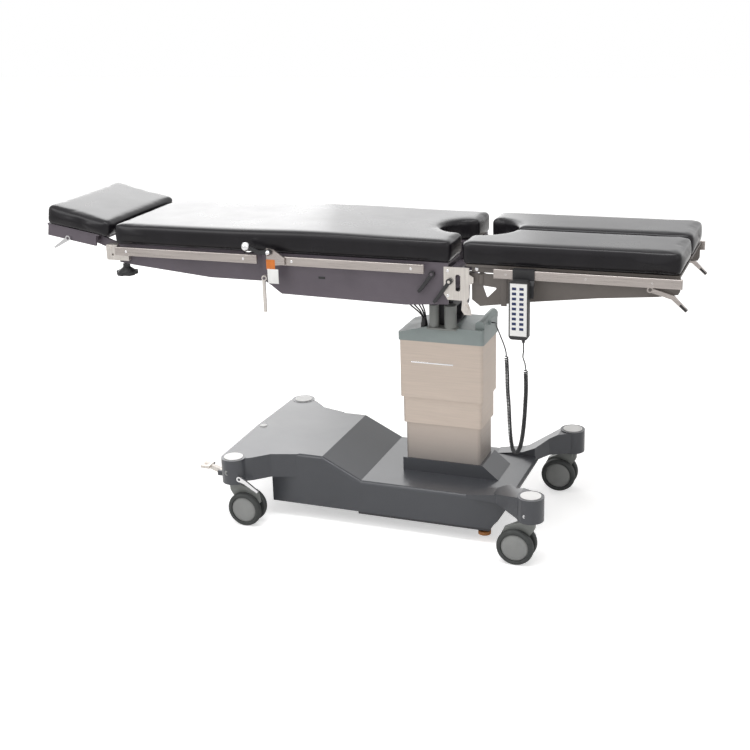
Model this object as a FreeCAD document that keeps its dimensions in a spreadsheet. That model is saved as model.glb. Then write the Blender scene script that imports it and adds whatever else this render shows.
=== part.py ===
# Operating table on a wheeled column base.
# Millimetres. The origin is on the floor under the middle of the table's outline, +Z is up,
# +X points to the foot end and -Y to the patient's right, where the handset hangs.

import FreeCAD, Part
import math
import os
import re
import Sketcher

os.makedirs("parts", exist_ok=True)
doc = FreeCAD.newDocument("operating_table")
Vector = FreeCAD.Vector

# Driving dimensions

SIZES = {
    # Cushions and their boards
    "pad_top": 1050,
    "pad_thick": 70,
    "pad_width": 500,
    "pad_edge": 12,
    "pad_corner": 20,
    "board_thick": 8,
    "back_pad_head": -845,
    "back_pad_foot": -355,
    "seat_pad_head": -235,
    "seat_pad_foot": 397,
    "seat_notch_radius": 97,
    "leg_pad_head": 426,
    "leg_pad_foot": 1118,
    "leg_pad_gap": 12,
    "leg_notch_radius": 120,
    "leg_pad_corner": 45,
    # Side rails
    "rail_top": 976,
    "rail_height": 30,
    "rail_thick": 10,
    "rail_half_span": 266,
    "rail_stop": 13,
    "spacer_radius": 8,
    "back_rail_head": -835,
    "back_rail_foot": -280,
    "seat_rail_head": -203,
    "seat_rail_foot": 313,
    "leg_rail_head": 543,
    "leg_rail_foot": 1121,
    # Seat section
    "seat_plate_inner": 228,
    "seat_plate_thick": 8,
    "seat_plate_head": -273,
    "seat_plate_foot": 385,
    "seat_tube_radius": 14,
    "seat_tube_head": -180,
    "seat_tube_foot": 328,
    "seat_tube_height": 892,
    "beam_half_gap": 80,
    "beam_wide": 20,
    "beam_low": 870,
    "beam_high": 902,
    "saddle_thick": 8,
    "saddle_half": 78,
    "lug_thick": 10,
    "lug_inner": 60,
    "lug_half_wide": 36,
    "junction_head": 180,
    "junction_foot": 262,
    "junction_low": 862,
    # Back section and its hinge
    "back_hinge_x": -250,
    "back_hinge_z": 945,
    "hinge_pin_radius": 8,
    "hinge_gap": 0.4,
    "back_lug_radius": 25,
    "back_plate_inner": 214,
    "back_plate_thick": 12,
    "back_frame_head": -842,
    "back_frame_foot": -345,
    "back_tube_radius": 14,
    "back_tube_z": 940,
    # Head section, drawn level about its hinge and then tilted
    "head_hinge_x": -872,
    "head_hinge_z": 966,
    "head_tilt": 9,
    "head_pad_length": 270,
    "head_pad_thick": 68,
    "head_pad_drop": 36,
    "head_side_inner": 225,
    "head_side_thick": 10,
    "head_side_top": 30,
    "head_side_low": -8,
    "head_lug_inner": 198,
    "head_lever_x": -172,
    "clamp_inner": 210,
    "clamp_outer": 240,
    "clamp_head": -887,
    "clamp_low": 921,
    "clamp_top": 977,
    "knob_x": -820,
    "knob_y": 220,
    "knob_radius": 39,
    "knob_neck_radius": 13,
    "knob_low": 868,
    "knob_rim": 12,
    "knob_top": 907,
    # Leg sections
    "leg_hinge_x": 452,
    "leg_hinge_z": 930,
    "spread_x": 492,
    "spread_y": 215,
    "leg_plate_inner": 218,
    "leg_plate_thick": 8,
    "leg_plate_foot": 1110,
    "leg_tube_radius": 12,
    "yoke_half": 15,
    "yoke_eye_radius": 20,
    "spread_eye_radius": 15,
    "spread_pin_radius": 7,
    "lug_gap": 8,
    "hinge_plate_reach": 72,
    "hinge_plate_gap": 8,
    "bracket_thick": 4,
    "bracket_head": 372,
    "bracket_foot": 457,
    "bracket_top": 968,
    "bracket_low": 859,
    "slot_half": 8.5,
    # Levers
    "lever_radius": 5,
    "lever_grip_radius": 8,
    "boss_radius": 10,
    "crank_x": -227,
    "crank_z": 992,
    "crank_plate_out": 2,
    "crank_plate_thick": 6,
    "crank_ball_radius": 15,
    "drop_x": -263,
    "drop_z": 893,
    "drop_length": 120,
    # Column
    "column_x": 310,
    "stage_wall": 3,
    "upper_half_x": 148,
    "upper_half_y": 90,
    "upper_low": 455,
    "upper_top": 662,
    "middle_half_x": 141,
    "middle_half_y": 82,
    "middle_low": 358,
    "middle_top": 528,
    "lower_half_x": 134,
    "lower_half_y": 75,
    "plinth_top": 222,
    "lower_top": 430,
    "stage_corner": 10,
    "guide_gap": 0.3,
    "guide_half": 40,
    "guide_tall": 24,
    "cap_rim": 4,
    "cap_low": 662,
    "cap_head_top": 690,
    "cap_top": 716,
    "cap_band": 22,
    "cap_hump": 745,
    "ram_radius": 42.6,
    "ram_low": 290,
    "cylinder_bore": 43,
    "cylinder_radius": 55,
    "cylinder_low": 62,
    "cylinder_top": 425,
    # Tilt joint on the column head
    "tilt_z": 800,
    "block_half_x": 38,
    "block_half_y": 60,
    "block_half_z": 25,
    "tilt_pin_radius": 10,
    "cheek_inner": 64,
    "cheek_thick": 10,
    "cheek_half_x": 34,
    "yoke_base_thick": 8,
    "motor_radius": 21,
    "motor_y": -100,
    "motor_top": 800,
    # Base
    "base_low": 57,
    "base_half_wide": 226,
    "base_wall_head": -286,
    "base_head": -436,
    "plateau_z": 247,
    "crest_x": -90,
    "deck_start_x": 55,
    "deck_z": 174,
    "wing_low": 160,
    "deck_foot": 583,
    "arch_foot": 519,
    "boss_half_y": 315,
    "head_boss_x": -391,
    "foot_boss_x": 683,
    "boss_wide_radius": 44,
    "boss_low": 157,
    "boss_top": 248,
    "foot_boss_top": 240,
    "disc_radius": 34,
    "disc_thick": 2,
    "plinth_front": 80,
    "plinth_rise_out": 60,
    "plate_low": 44,
    "plate_head": 40,
    "plate_half_wide": 216,
    "foot_lock_x": 495,
    "foot_lock_y": 196,
    "foot_pad_radius": 22,
    "foot_pad_low": 26,
    "foot_pad_thick": 12,
    "foot_stem_radius": 10,
    # Casters
    "wheel_radius": 62.5,
    "wheel_inner": 13,
    "wheel_outer": 38,
    "tread_round": 9,
    "caster_trail": 45,
    "axle_radius": 8,
    "stem_radius": 12,
    "stem_high": 205,
    "fork_half": 11,
    "fork_top": 154,
    # Brake controls
    "pedal_y": -300,
    "pedal_half": 24,
    # Handset
    "handset_x": 634,
    "handset_wide": 62,
    "handset_tall": 190,
    "handset_deep": 26,
    "handset_top": 952,
    "handset_gap": 12,
    "hook_reach": 10,
    "hook_thick": 3,
    "keypad_edge": 4,
    "keypad_depth": 2,
    # Cables
    "cord_diameter": 6,
    "coil_diameter": 15,
    "cable_diameter": 12,
}

sheet = doc.addObject("Spreadsheet::Sheet", "Sizes")
for row, (alias, value) in enumerate(SIZES.items(), start=1):
    sheet.set("A%d" % row, str(value))
    sheet.setAlias("A%d" % row, alias)
doc.recompute()

WORD = re.compile(r"[a-z][a-z0-9_]*")
PARTS = []


def formula(text):
    """The expression for the sheet: each alias in the text gets the sheet's name before it."""
    return WORD.sub(lambda word: "Sizes." + word.group() if word.group() in SIZES else word.group(), str(text))


def bind(item, prop, text):
    item.setExpression(prop, formula(text))


def put(item, x, y, z, axis=None, angle=None):
    """Place an object by three formulas, turned about an axis where one is given."""
    if axis is not None:
        item.Placement = FreeCAD.Placement(Vector(), FreeCAD.Rotation(axis, 1.0))
        bind(item, "Placement.Rotation.Angle", angle)
    bind(item, "Placement.Base.x", x)
    bind(item, "Placement.Base.y", y)
    bind(item, "Placement.Base.z", z)
    return item


def box(name, x, y, z):
    """A block: each of x, y and z is its low and high side."""
    item = doc.addObject("Part::Box", name)
    bind(item, "Length", "(%s) - (%s)" % (x[1], x[0]))
    bind(item, "Width", "(%s) - (%s)" % (y[1], y[0]))
    bind(item, "Height", "(%s) - (%s)" % (z[1], z[0]))
    return put(item, x[0], y[0], z[0])


TURNS = {
    "X": FreeCAD.Rotation(Vector(0, 1, 0), 90),
    "Y": FreeCAD.Rotation(Vector(1, 0, 0), -90),
    "Z": FreeCAD.Rotation(),
}


def along(item, axis, centre, low):
    """Stand a round object on an axis, at the two other coordinates of its centre."""
    item.Placement = FreeCAD.Placement(Vector(), TURNS[axis])
    spots = {"X": (low, centre[0], centre[1]), "Y": (centre[0], low, centre[1]), "Z": (centre[0], centre[1], low)}
    for letter, spot in zip("xyz", spots[axis]):
        bind(item, "Placement.Base." + letter, spot)
    return item


def rod(name, axis, centre, radius, low, high):
    item = doc.addObject("Part::Cylinder", name)
    bind(item, "Radius", radius)
    bind(item, "Height", "(%s) - (%s)" % (high, low))
    return along(item, axis, centre, low)


def cone(name, axis, centre, radii, low, high):
    item = doc.addObject("Part::Cone", name)
    bind(item, "Radius1", radii[0])
    bind(item, "Radius2", radii[1])
    bind(item, "Height", "(%s) - (%s)" % (high, low))
    return along(item, axis, centre, low)


def ball(name, x, y, z, radius):
    """A sphere, its seam turned to the side that faces away from +X."""
    item = doc.addObject("Part::Sphere", name)
    item.Placement = FreeCAD.Placement(Vector(), FreeCAD.Rotation(Vector(0, 0, 1), 155))
    bind(item, "Radius", radius)
    return put(item, x, y, z)


def fuse(name, items):
    item = doc.addObject("Part::MultiFuse", name)
    item.Shapes = items
    item.Refine = True
    return item


def cut(name, base, tool):
    item = doc.addObject("Part::Cut", name)
    item.Base = base
    item.Tool = tool
    item.Refine = True
    return item


def common(name, first, second):
    item = doc.addObject("Part::MultiCommon", name)
    item.Shapes = [first, second]
    return item


def mirrored(name, source):
    """The same piece on the patient's left."""
    item = doc.addObject("Part::Mirroring", name)
    item.Source = source
    item.Normal = Vector(0, 1, 0)
    return item


def part(item):
    """Keep an object as one of the table's sub-parts, under the name that it has."""
    PARTS.append(item)
    return item


def both(name, right):
    """One node of a right and a left piece."""
    return fuse(name, [right, mirrored(name + "_mirror", right)])


# Profiles

SIGHTS = {"XY": "XY_Plane", "XZ": "XZ_Plane", "YZ": "YZ_Plane"}


def sketch_on(body, name, plane, offset):
    """A sketch on one of the body's own planes, moved along the plane's normal."""
    sketch = body.newObject("Sketcher::SketchObject", name)
    base = [item for item in body.Origin.OriginFeatures if item.Role == SIGHTS[plane]][0]
    sketch.AttachmentSupport = [(base, "")]
    sketch.MapMode = "FlatFace"
    bind(sketch, "AttachmentOffset.Base.z", offset)
    return sketch


def hold(sketch, kind, index, point, start, text):
    """A signed distance from the sketch's origin, held by a formula."""
    row = sketch.addConstraint(Sketcher.Constraint(kind, -1, 1, index, point, start or 0.5))
    bind(sketch, "Constraints[%d]" % row, text)


def polygon(sketch, outline):
    """A closed outline, each corner held by the formulas of its two coordinates."""
    count = len(outline)
    corners = [Vector(math.cos(math.tau * n / count + 0.1), math.sin(math.tau * n / count + 0.1), 0)
               for n in range(count)]
    for n in range(count):
        sketch.addGeometry(Part.LineSegment(corners[n], corners[(n + 1) % count]), False)
    for n in range(count):
        sketch.addConstraint(Sketcher.Constraint("Coincident", n, 2, (n + 1) % count, 1))
    for n, (across, up) in enumerate(outline):
        hold(sketch, "DistanceX", n, 1, corners[n].x, across)
        hold(sketch, "DistanceY", n, 1, corners[n].y, up)


def plate(name, plane, outline, low, high):
    """A piece with one outline, between two planes."""
    body = doc.addObject("PartDesign::Body", name)
    offset = "-(%s)" % high if plane == "XZ" else low
    sketch = sketch_on(body, name + "_outline", plane, offset)
    polygon(sketch, outline)
    pad = body.newObject("PartDesign::Pad", name + "_pad")
    pad.Profile = sketch
    bind(pad, "Length", "(%s) - (%s)" % (high, low))
    return body


def bore(body, plane, centre, radius, low, high):
    """A round hole through a body, from the high plane to the low one."""
    name = body.Name + "_bore%d" % len(body.Group)
    sketch = sketch_on(body, name + "_circle", plane, "-(%s)" % low if plane == "XZ" else high)
    sketch.addGeometry(Part.Circle(Vector(1, 1, 0), Vector(0, 0, 1), 5), False)
    hold(sketch, "DistanceX", 0, 3, 1, centre[0])
    hold(sketch, "DistanceY", 0, 3, 1, centre[1])
    row = sketch.addConstraint(Sketcher.Constraint("Radius", 0, 5))
    bind(sketch, "Constraints[%d]" % row, radius)
    pocket = body.newObject("PartDesign::Pocket", name)
    pocket.Profile = sketch
    bind(pocket, "Length", "(%s) - (%s)" % (high, low))
    return body


def round_edges(body, radius, wanted):
    """Fillet the edges for which wanted(middle, direction, edge) holds."""
    doc.recompute()
    base = body.Tip
    names = []
    for n, edge in enumerate(base.Shape.Edges, start=1):
        middle = edge.valueAt((edge.FirstParameter + edge.LastParameter) / 2)
        direction = edge.tangentAt((edge.FirstParameter + edge.LastParameter) / 2)
        if wanted(middle, direction, edge):
            names.append("Edge%d" % n)
    fillet = body.newObject("PartDesign::Fillet", base.Name + "_round")
    fillet.Base = (base, names)
    bind(fillet, "Radius", radius)
    return body


def upright(middle, direction, edge):
    return abs(direction.z) > 0.99


def value(alias):
    return float(sheet.get(alias))


# Cushions


def cushion(name, outline, notch, low, high, corner):
    """A seamed cushion: rounded corners, a round notch where it has one and soft edges."""
    body = plate(name, "XY", outline, low, high)
    if notch:
        bore(body, "XY", (notch[0], notch[1]), notch[2], low, high)
    bottom = value("pad_top") - value("pad_thick")
    round_edges(body, corner, lambda middle, direction, edge: upright(middle, direction, edge)
                and abs(middle.y) > value("pad_width") / 2 - 1)
    round_edges(body, "pad_edge", lambda middle, direction, edge: abs(direction.z) < 0.01
                and (abs(middle.z - value("pad_top")) < 1 or abs(middle.z - bottom) < 1))
    return body


def rectangle(x, y):
    return [(x[0], y[0]), (x[1], y[0]), (x[1], y[1]), (x[0], y[1])]


PAD_SIDES = ("-pad_width / 2", "pad_width / 2")
PAD_BOTTOM = "pad_top - pad_thick"

back_pad = part(cushion("back_pad", rectangle(("back_pad_head", "back_pad_foot"), PAD_SIDES), None,
                        PAD_BOTTOM, "pad_top", "pad_corner"))
seat_pad = part(cushion("seat_pad", rectangle(("seat_pad_head", "seat_pad_foot"), PAD_SIDES),
                        ("seat_pad_foot", "0", "seat_notch_radius"), PAD_BOTTOM, "pad_top", "pad_corner"))
pad_fold = part(box("pad_fold", ("back_pad_foot + hinge_gap", "seat_pad_head"), PAD_SIDES,
                    (PAD_BOTTOM, "pad_top")))
leg_outline = [
    ("leg_pad_head", "-pad_width / 2"),
    ("leg_pad_foot", "-pad_width / 2"),
    ("leg_pad_foot", "-leg_pad_gap / 2"),
    ("leg_pad_head", "-leg_pad_gap / 2"),
]
leg_pad_right = part(cushion("leg_pad_right", leg_outline, ("leg_pad_head", "0", "leg_notch_radius"),
                             PAD_BOTTOM, "pad_top", "pad_corner"))
leg_pad_left = part(mirrored("leg_pad_left", leg_pad_right))

# Side rails, each bar on round spacers


def rail(name, head, foot, spacers, inner):
    """A flat bar with a turned-out stop at each end, on spacers that reach in to the frame."""
    low = "rail_top - rail_height"
    bar = plate(name + "_bar", "XZ", rectangle((head, foot), (low, "rail_top")),
                "-rail_half_span", "rail_thick - rail_half_span")
    round_edges(bar, "rail_thick / 5", lambda middle, direction, edge: abs(direction.y) < 0.01)
    posts = [rod("%s_spacer%d" % (name, n), "Y", (spot, "rail_top - rail_height / 2"), "spacer_radius",
                 "rail_thick / 2 - rail_half_span", "-(%s)" % inner) for n, spot in enumerate(spacers)]
    return fuse(name, [bar] + posts)


back_rail = rail("back_rail_side", "back_rail_head", "back_rail_foot",
                 ["back_rail_head + 40", "(back_rail_head + back_rail_foot) / 2", "back_rail_foot - 40"],
                 "back_plate_inner + back_plate_thick")
part(both("back_rails", back_rail))
seat_rail = rail("seat_rail_side", "seat_rail_head", "seat_rail_foot",
                 ["seat_rail_head + 30", "(seat_rail_head + seat_rail_foot) / 2", "seat_rail_foot - 25"],
                 "seat_plate_inner + seat_plate_thick")
leg_rail_right = part(rail("leg_rail_right", "leg_rail_head", "leg_rail_foot",
                           ["leg_rail_head + 40", "(leg_rail_head + leg_rail_foot) / 2", "leg_rail_foot - 88"],
                           "leg_plate_inner + leg_plate_thick"))
part(mirrored("leg_rail_left", leg_rail_right))

# The release lever's bearing plate stands outside the patient's right seat rail
CRANK_FACE = "rail_half_span + crank_plate_out"
crank_plate = plate("crank_plate", "XZ", [
    ("crank_x - 12", "crank_z - 48"),
    ("seat_rail_head + 30", "rail_top - rail_height + 4"),
    ("seat_rail_head + 30", "rail_top - 2"),
    ("crank_x + 14", "crank_z + 8"),
    ("crank_x - 12", "crank_z + 12"),
], "-(%s + crank_plate_thick)" % CRANK_FACE, "-(%s)" % CRANK_FACE)
crank_washer = rod("crank_washer", "Y", ("seat_rail_head + 15", "rail_top - rail_height / 2"), "spacer_radius",
                   "-(%s)" % CRANK_FACE, "1 - rail_half_span")
crank_pin = rod("crank_pin", "Y", ("crank_x", "crank_z"), "lever_radius",
                "-(%s + crank_plate_thick + 14)" % CRANK_FACE, "-(%s)" % CRANK_FACE)
seat_rails_bars = both("seat_rails_bars", seat_rail)
part(fuse("seat_rails", [seat_rails_bars, crank_plate, crank_washer, crank_pin]))

# Seat frame: two side plates, two cross tubes, two beams and the saddle on the tilt joint

BOARD_LOW = "pad_top - pad_thick - board_thick"
SEAT_OUT = "seat_plate_inner + seat_plate_thick"
seat_side = plate("seat_side", "XZ", [
    ("seat_plate_head", BOARD_LOW),
    ("seat_plate_head", "back_hinge_z - 61"),
    ("seat_plate_head + 30", "back_hinge_z - 79"),
    ("seat_plate_head + 67", "back_hinge_z - 106"),
    ("seat_tube_foot - 88", "back_hinge_z - 114"),
    ("seat_plate_foot - 5", "back_hinge_z - 103"),
    ("seat_plate_foot", "back_hinge_z - 103"),
    ("seat_plate_foot", BOARD_LOW),
], "-(%s)" % SEAT_OUT, "-seat_plate_inner")
hinge_pin = rod("seat_hinge_pin", "Y", ("back_hinge_x", "back_hinge_z"), "hinge_pin_radius",
                "-(%s + 4)" % SEAT_OUT, "6 - back_plate_inner")
drop_pin = rod("seat_drop_pin", "Y", ("drop_x", "drop_z"), "lever_radius", "-(%s + 16)" % SEAT_OUT,
               "-(%s)" % SEAT_OUT)
seat_sides = both("seat_sides", fuse("seat_side_pins", [seat_side, hinge_pin]))
tubes = [rod("seat_tube%d" % n, "Y", (spot, "seat_tube_height"), "seat_tube_radius", "-seat_plate_inner",
             "seat_plate_inner") for n, spot in enumerate(["seat_tube_head", "seat_tube_foot"])]
beam = box("seat_beam", ("seat_tube_head", "seat_tube_foot"),
           ("-beam_half_gap - beam_wide", "-beam_half_gap"), ("beam_low", "beam_high"))
beams = both("seat_beams", beam)
saddle = box("seat_saddle", ("column_x - saddle_half", "column_x + saddle_half"),
             ("-beam_half_gap - beam_wide", "beam_half_gap + beam_wide"), ("beam_low - saddle_thick", "beam_low"))


def saddle_lug(name, low, high):
    """A plate that hangs from the saddle to the lateral pin, with a bored round end."""
    lug = plate(name, "YZ", [
        ("-lug_half_wide", "beam_low - saddle_thick"),
        ("-lug_half_wide * 0.6", "tilt_z - 20"),
        ("lug_half_wide * 0.6", "tilt_z - 20"),
        ("lug_half_wide", "beam_low - saddle_thick"),
    ], low, high)
    bore(lug, "YZ", ("0", "tilt_z"), "tilt_pin_radius + hinge_gap", low, high)
    return round_edges(lug, "lug_half_wide / 4", lambda middle, direction, edge: abs(direction.x) > 0.99
                       and middle.z < value("tilt_z") - 15)


lug_head = saddle_lug("saddle_lug_head", "column_x - lug_inner - lug_thick", "column_x - lug_inner")
lug_foot = saddle_lug("saddle_lug_foot", "column_x + lug_inner", "column_x + lug_inner + lug_thick")
junction = box("junction_box", ("junction_head", "junction_foot"),
               ("-beam_half_gap - beam_wide - 40", "-beam_half_gap - beam_wide"), ("junction_low", "beam_high"))
seat_board = plate("seat_board", "XY", rectangle(("seat_pad_head", "seat_plate_foot"),
                                                 ("-(%s)" % SEAT_OUT, SEAT_OUT)), BOARD_LOW, PAD_BOTTOM)
bore(seat_board, "XY", ("seat_pad_foot", "0"), "seat_notch_radius + 5", BOARD_LOW, PAD_BOTTOM)
board_posts = [box("board_post%d" % n, (spot, "%s + 40" % spot), ("-beam_half_gap - beam_wide", "-beam_half_gap"),
                   ("beam_high", BOARD_LOW)) for n, spot in enumerate(["seat_tube_head + 40", "seat_tube_foot - 120"])]
posts = both("board_posts", fuse("board_posts_side", board_posts))
part(fuse("seat_frame", [seat_sides, drop_pin] + tubes + [beams, saddle, lug_head, lug_foot, junction, seat_board,
                                                          posts]))

# Back frame: deep side plates bored for the hinge pins, cross tubes and the board

BACK_OUT = "back_plate_inner + back_plate_thick"
back_side = plate("back_side", "XZ", [
    ("back_frame_head", BOARD_LOW),
    ("back_frame_head", "back_hinge_z - 33"),
    ("back_frame_head + 53", "back_hinge_z - 40"),
    ("back_frame_head + 362", "back_hinge_z - 68"),
    ("back_hinge_x - 35", "back_hinge_z - 68"),
    ("back_hinge_x - 14", "back_hinge_z - 20"),
    ("back_hinge_x - 16", "back_hinge_z + 17"),
    ("back_hinge_x - 48", BOARD_LOW),
], "-(%s)" % BACK_OUT, "-back_plate_inner")
back_lug = rod("back_lug", "Y", ("back_hinge_x", "back_hinge_z"), "back_lug_radius", "-(%s)" % BACK_OUT,
               "-back_plate_inner")
back_hole = rod("back_hole", "Y", ("back_hinge_x", "back_hinge_z"), "hinge_pin_radius + hinge_gap",
                "-(%s + 1)" % BACK_OUT, "1 - back_plate_inner")
back_sides = both("back_sides", cut("back_side_bored", fuse("back_side_lug", [back_side, back_lug]), back_hole))
back_tubes = [rod("back_tube%d" % n, "Y", (spot, "back_tube_z"), "back_tube_radius", "-back_plate_inner",
                  "back_plate_inner") for n, spot in enumerate(["back_frame_head + 42", "back_frame_foot - 15"])]
back_board = box("back_board", ("back_frame_head", "back_frame_foot"), ("-(%s)" % BACK_OUT, BACK_OUT),
                 (BOARD_LOW, PAD_BOTTOM))
part(fuse("back_frame", [back_sides] + back_tubes + [back_board]))

# Head clamps on the end of the back frame, with the pins that the head section turns on

clamp = plate("head_clamp_block", "XZ", rectangle(("clamp_head", "back_frame_head"),
                                                  ("clamp_low", "clamp_top")), "-clamp_outer", "-clamp_inner")
bore(clamp, "XZ", ("clamp_head + 26", "clamp_low + 20"), "hinge_pin_radius / 2", "-clamp_outer", "-clamp_inner")
round_edges(clamp, "rail_thick / 2", lambda middle, direction, edge: abs(direction.y) > 0.99
            and middle.x < value("clamp_head") + 1)
clamp_tab = box("head_clamp_tab", ("back_frame_head", "back_frame_head + 46"), ("-clamp_outer", "-(%s)" % BACK_OUT),
                ("clamp_low", "rail_top - rail_height - 3"))
clamp_pin = rod("head_clamp_pin", "Y", ("head_hinge_x", "head_hinge_z"), "hinge_pin_radius", "-clamp_outer - 2",
                "4 - head_lug_inner")
part(both("head_clamps", fuse("head_clamp_side", [clamp, clamp_tab, clamp_pin])))


def star_knob(name, side):
    """A five-lobed clamping knob on a flared neck, under the end of the back frame."""
    spot = ("knob_x", "%s * knob_y" % side)
    skirt = cone(name + "_skirt", "Z", spot, ("knob_radius * 0.8", "knob_neck_radius"), "knob_low + knob_rim",
                 "knob_top - 12")
    neck = rod(name + "_neck", "Z", spot, "knob_neck_radius", "knob_top - 14", "knob_top - hinge_gap")
    disc = rod(name + "_disc", "Z", spot, "knob_radius", "knob_low", "knob_low + knob_rim")
    lobes = []
    for n in range(5):
        turn = 72 * n
        lobes.append(rod("%s_scoop%d" % (name, n), "Z", (
            "knob_x + (knob_radius + 10) * cos(%d deg)" % turn,
            "%s * knob_y + (knob_radius + 10) * sin(%d deg)" % (side, turn)),
            "knob_radius * 0.42", "knob_low - 1", "knob_low + knob_rim + 1"))
    wheel = cut(name + "_wheel", disc, fuse(name + "_scoops", lobes))
    return fuse(name, [wheel, skirt, neck])


part(star_knob("star_knob_right", "-1"))
part(star_knob("star_knob_left", "1"))

# Head section, drawn level about its hinge

HEAD_FAR = "-head_pad_length - 2"
head_pad = plate("head_pad", "XY", rectangle((HEAD_FAR, "-2"), PAD_SIDES), "head_pad_drop",
                 "head_pad_drop + head_pad_thick")
round_edges(head_pad, "pad_corner", upright)
round_edges(head_pad, "pad_edge", lambda middle, direction, edge: abs(direction.z) < 0.01)
part(put(head_pad, "head_hinge_x", "0", "head_hinge_z", Vector(0, 1, 0), "head_tilt"))
head_side = box("head_side", (HEAD_FAR + " + 10", "-60"), ("-head_side_inner - head_side_thick", "-head_side_inner"),
                ("head_side_low", "head_side_top"))
head_lug = plate("head_lug", "XZ", [
    ("-80", "-2"),
    ("-14", "-hinge_pin_radius - 6"),
    ("12", "-hinge_pin_radius - 4"),
    ("14", "8"),
    ("2", "hinge_pin_radius + 8"),
    ("-80", "head_side_top"),
], "-head_lug_inner - head_side_thick", "-head_lug_inner")
bore(head_lug, "XZ", ("0", "0"), "hinge_pin_radius + hinge_gap", "-head_lug_inner - head_side_thick",
     "-head_lug_inner")
head_sides = both("head_sides", fuse("head_side_all", [head_side, head_lug]))
head_tubes = [rod("head_tube%d" % n, "Y", (spot, "12"), "leg_tube_radius", "-head_side_inner - 2",
                  "head_side_inner + 2") for n, spot in enumerate(["-68", HEAD_FAR + " + 26"])]
head_board = box("head_board", (HEAD_FAR + " + 6", "-50"),
                 ("-head_side_inner - head_side_thick", "head_side_inner + head_side_thick"),
                 ("head_side_top", "head_pad_drop"))
lever_pin = rod("head_lever_pin", "Y", ("head_lever_x", "0"), "lever_radius", "-head_side_inner - head_side_thick - 12",
                "-head_side_inner")
head_frame = fuse("head_frame", [head_sides] + head_tubes + [head_board, lever_pin])
part(put(head_frame, "head_hinge_x", "0", "head_hinge_z", Vector(0, 1, 0), "head_tilt"))
HEAD_LEVER_Y = "-head_side_inner - head_side_thick - 6"
lever_eye = rod("head_lever_eye", "Y", ("head_lever_x", "0"), "boss_radius", HEAD_LEVER_Y + " - 5", HEAD_LEVER_Y + " + 5")
lever_bore = rod("head_lever_bore", "Y", ("head_lever_x", "0"), "lever_radius + hinge_gap", HEAD_LEVER_Y + " - 6",
                 HEAD_LEVER_Y + " + 6")
lever_arm = plate("head_lever_arm", "XZ", [
    ("head_lever_x - 2", "8"),
    ("head_lever_x + 4", "-8"),
    ("head_lever_x - 50", "-48"),
    ("head_lever_x - 59", "-46"),
], HEAD_LEVER_Y + " - 4", HEAD_LEVER_Y + " + 4")
head_lever = cut("head_lever", fuse("head_lever_solid", [lever_eye, lever_arm]), lever_bore)
part(put(head_lever, "head_hinge_x", "0", "head_hinge_z", Vector(0, 1, 0), "head_tilt"))

# Leg hinges: stainless brackets on the seat plates, with slots and the pins of both legs

BRACKET_OUT = SEAT_OUT + " + bracket_thick"
bracket = plate("leg_bracket", "XZ", [
    ("bracket_head", "bracket_top"),
    ("bracket_head", "bracket_low + 20"),
    ("bracket_head + 13", "bracket_low"),
    ("leg_hinge_x - 18", "bracket_low"),
    ("leg_hinge_x - 22", "bracket_low - 31"),
    ("leg_hinge_x - 12", "bracket_low - 47"),
    ("leg_hinge_x + 12", "bracket_low - 47"),
    ("leg_hinge_x + 8", "bracket_low - 25"),
    ("leg_hinge_x - 3", "bracket_low"),
    ("bracket_foot", "bracket_low + 13"),
    ("bracket_foot", "leg_hinge_z - 18"),
    ("leg_hinge_x + 19", "leg_hinge_z - 10"),
    ("leg_hinge_x + 19", "leg_hinge_z + 8"),
    ("bracket_foot", "leg_hinge_z + 16"),
    ("bracket_foot", "bracket_top"),
], "-(%s)" % BRACKET_OUT, "-(%s)" % SEAT_OUT)
SLOT_X = "leg_hinge_x - 33"
slot = plate("bracket_slot", "XZ", rectangle((SLOT_X + " - slot_half", SLOT_X + " + slot_half"),
                                             ("leg_hinge_z - 42", "leg_hinge_z + 14")),
             "-(%s + 1)" % BRACKET_OUT, "1 - (%s)" % SEAT_OUT)
round_edges(slot, "slot_half * 0.9", lambda middle, direction, edge: abs(direction.y) > 0.99)
bracket_open = cut("leg_bracket_open", bracket, slot)
YOKE_IN = "spread_y - 10"
YOKE_OUT = "seat_plate_inner - 3"
leg_pin = rod("leg_pin", "Y", ("leg_hinge_x", "leg_hinge_z"), "hinge_pin_radius", "-(%s)" % BRACKET_OUT,
              "3 - (%s)" % YOKE_IN)
link_boss = rod("bracket_boss", "Y", ("leg_hinge_x - 7", "bracket_low - 25"), "boss_radius",
                "-(%s) - 8" % BRACKET_OUT, "-(%s)" % SEAT_OUT)
pivot_b = rod("lever_pivot_b", "Y", ("bracket_head + 20", "leg_hinge_z - 9"), "lever_radius",
              "-(%s) - 12" % BRACKET_OUT, "-(%s)" % SEAT_OUT)
pivot_a = rod("lever_pivot_a", "Y", ("seat_rail_foot + 21", "leg_hinge_z + 12"), "lever_radius",
              "-(%s) - 12" % BRACKET_OUT, "-(%s)" % SEAT_OUT)
part(both("leg_hinge_brackets", fuse("leg_hinge_side", [bracket_open, leg_pin, link_boss, pivot_b])))
doc.getObject("seat_frame").Shapes = doc.getObject("seat_frame").Shapes + [both("lever_pivots_a", pivot_a)]


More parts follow.
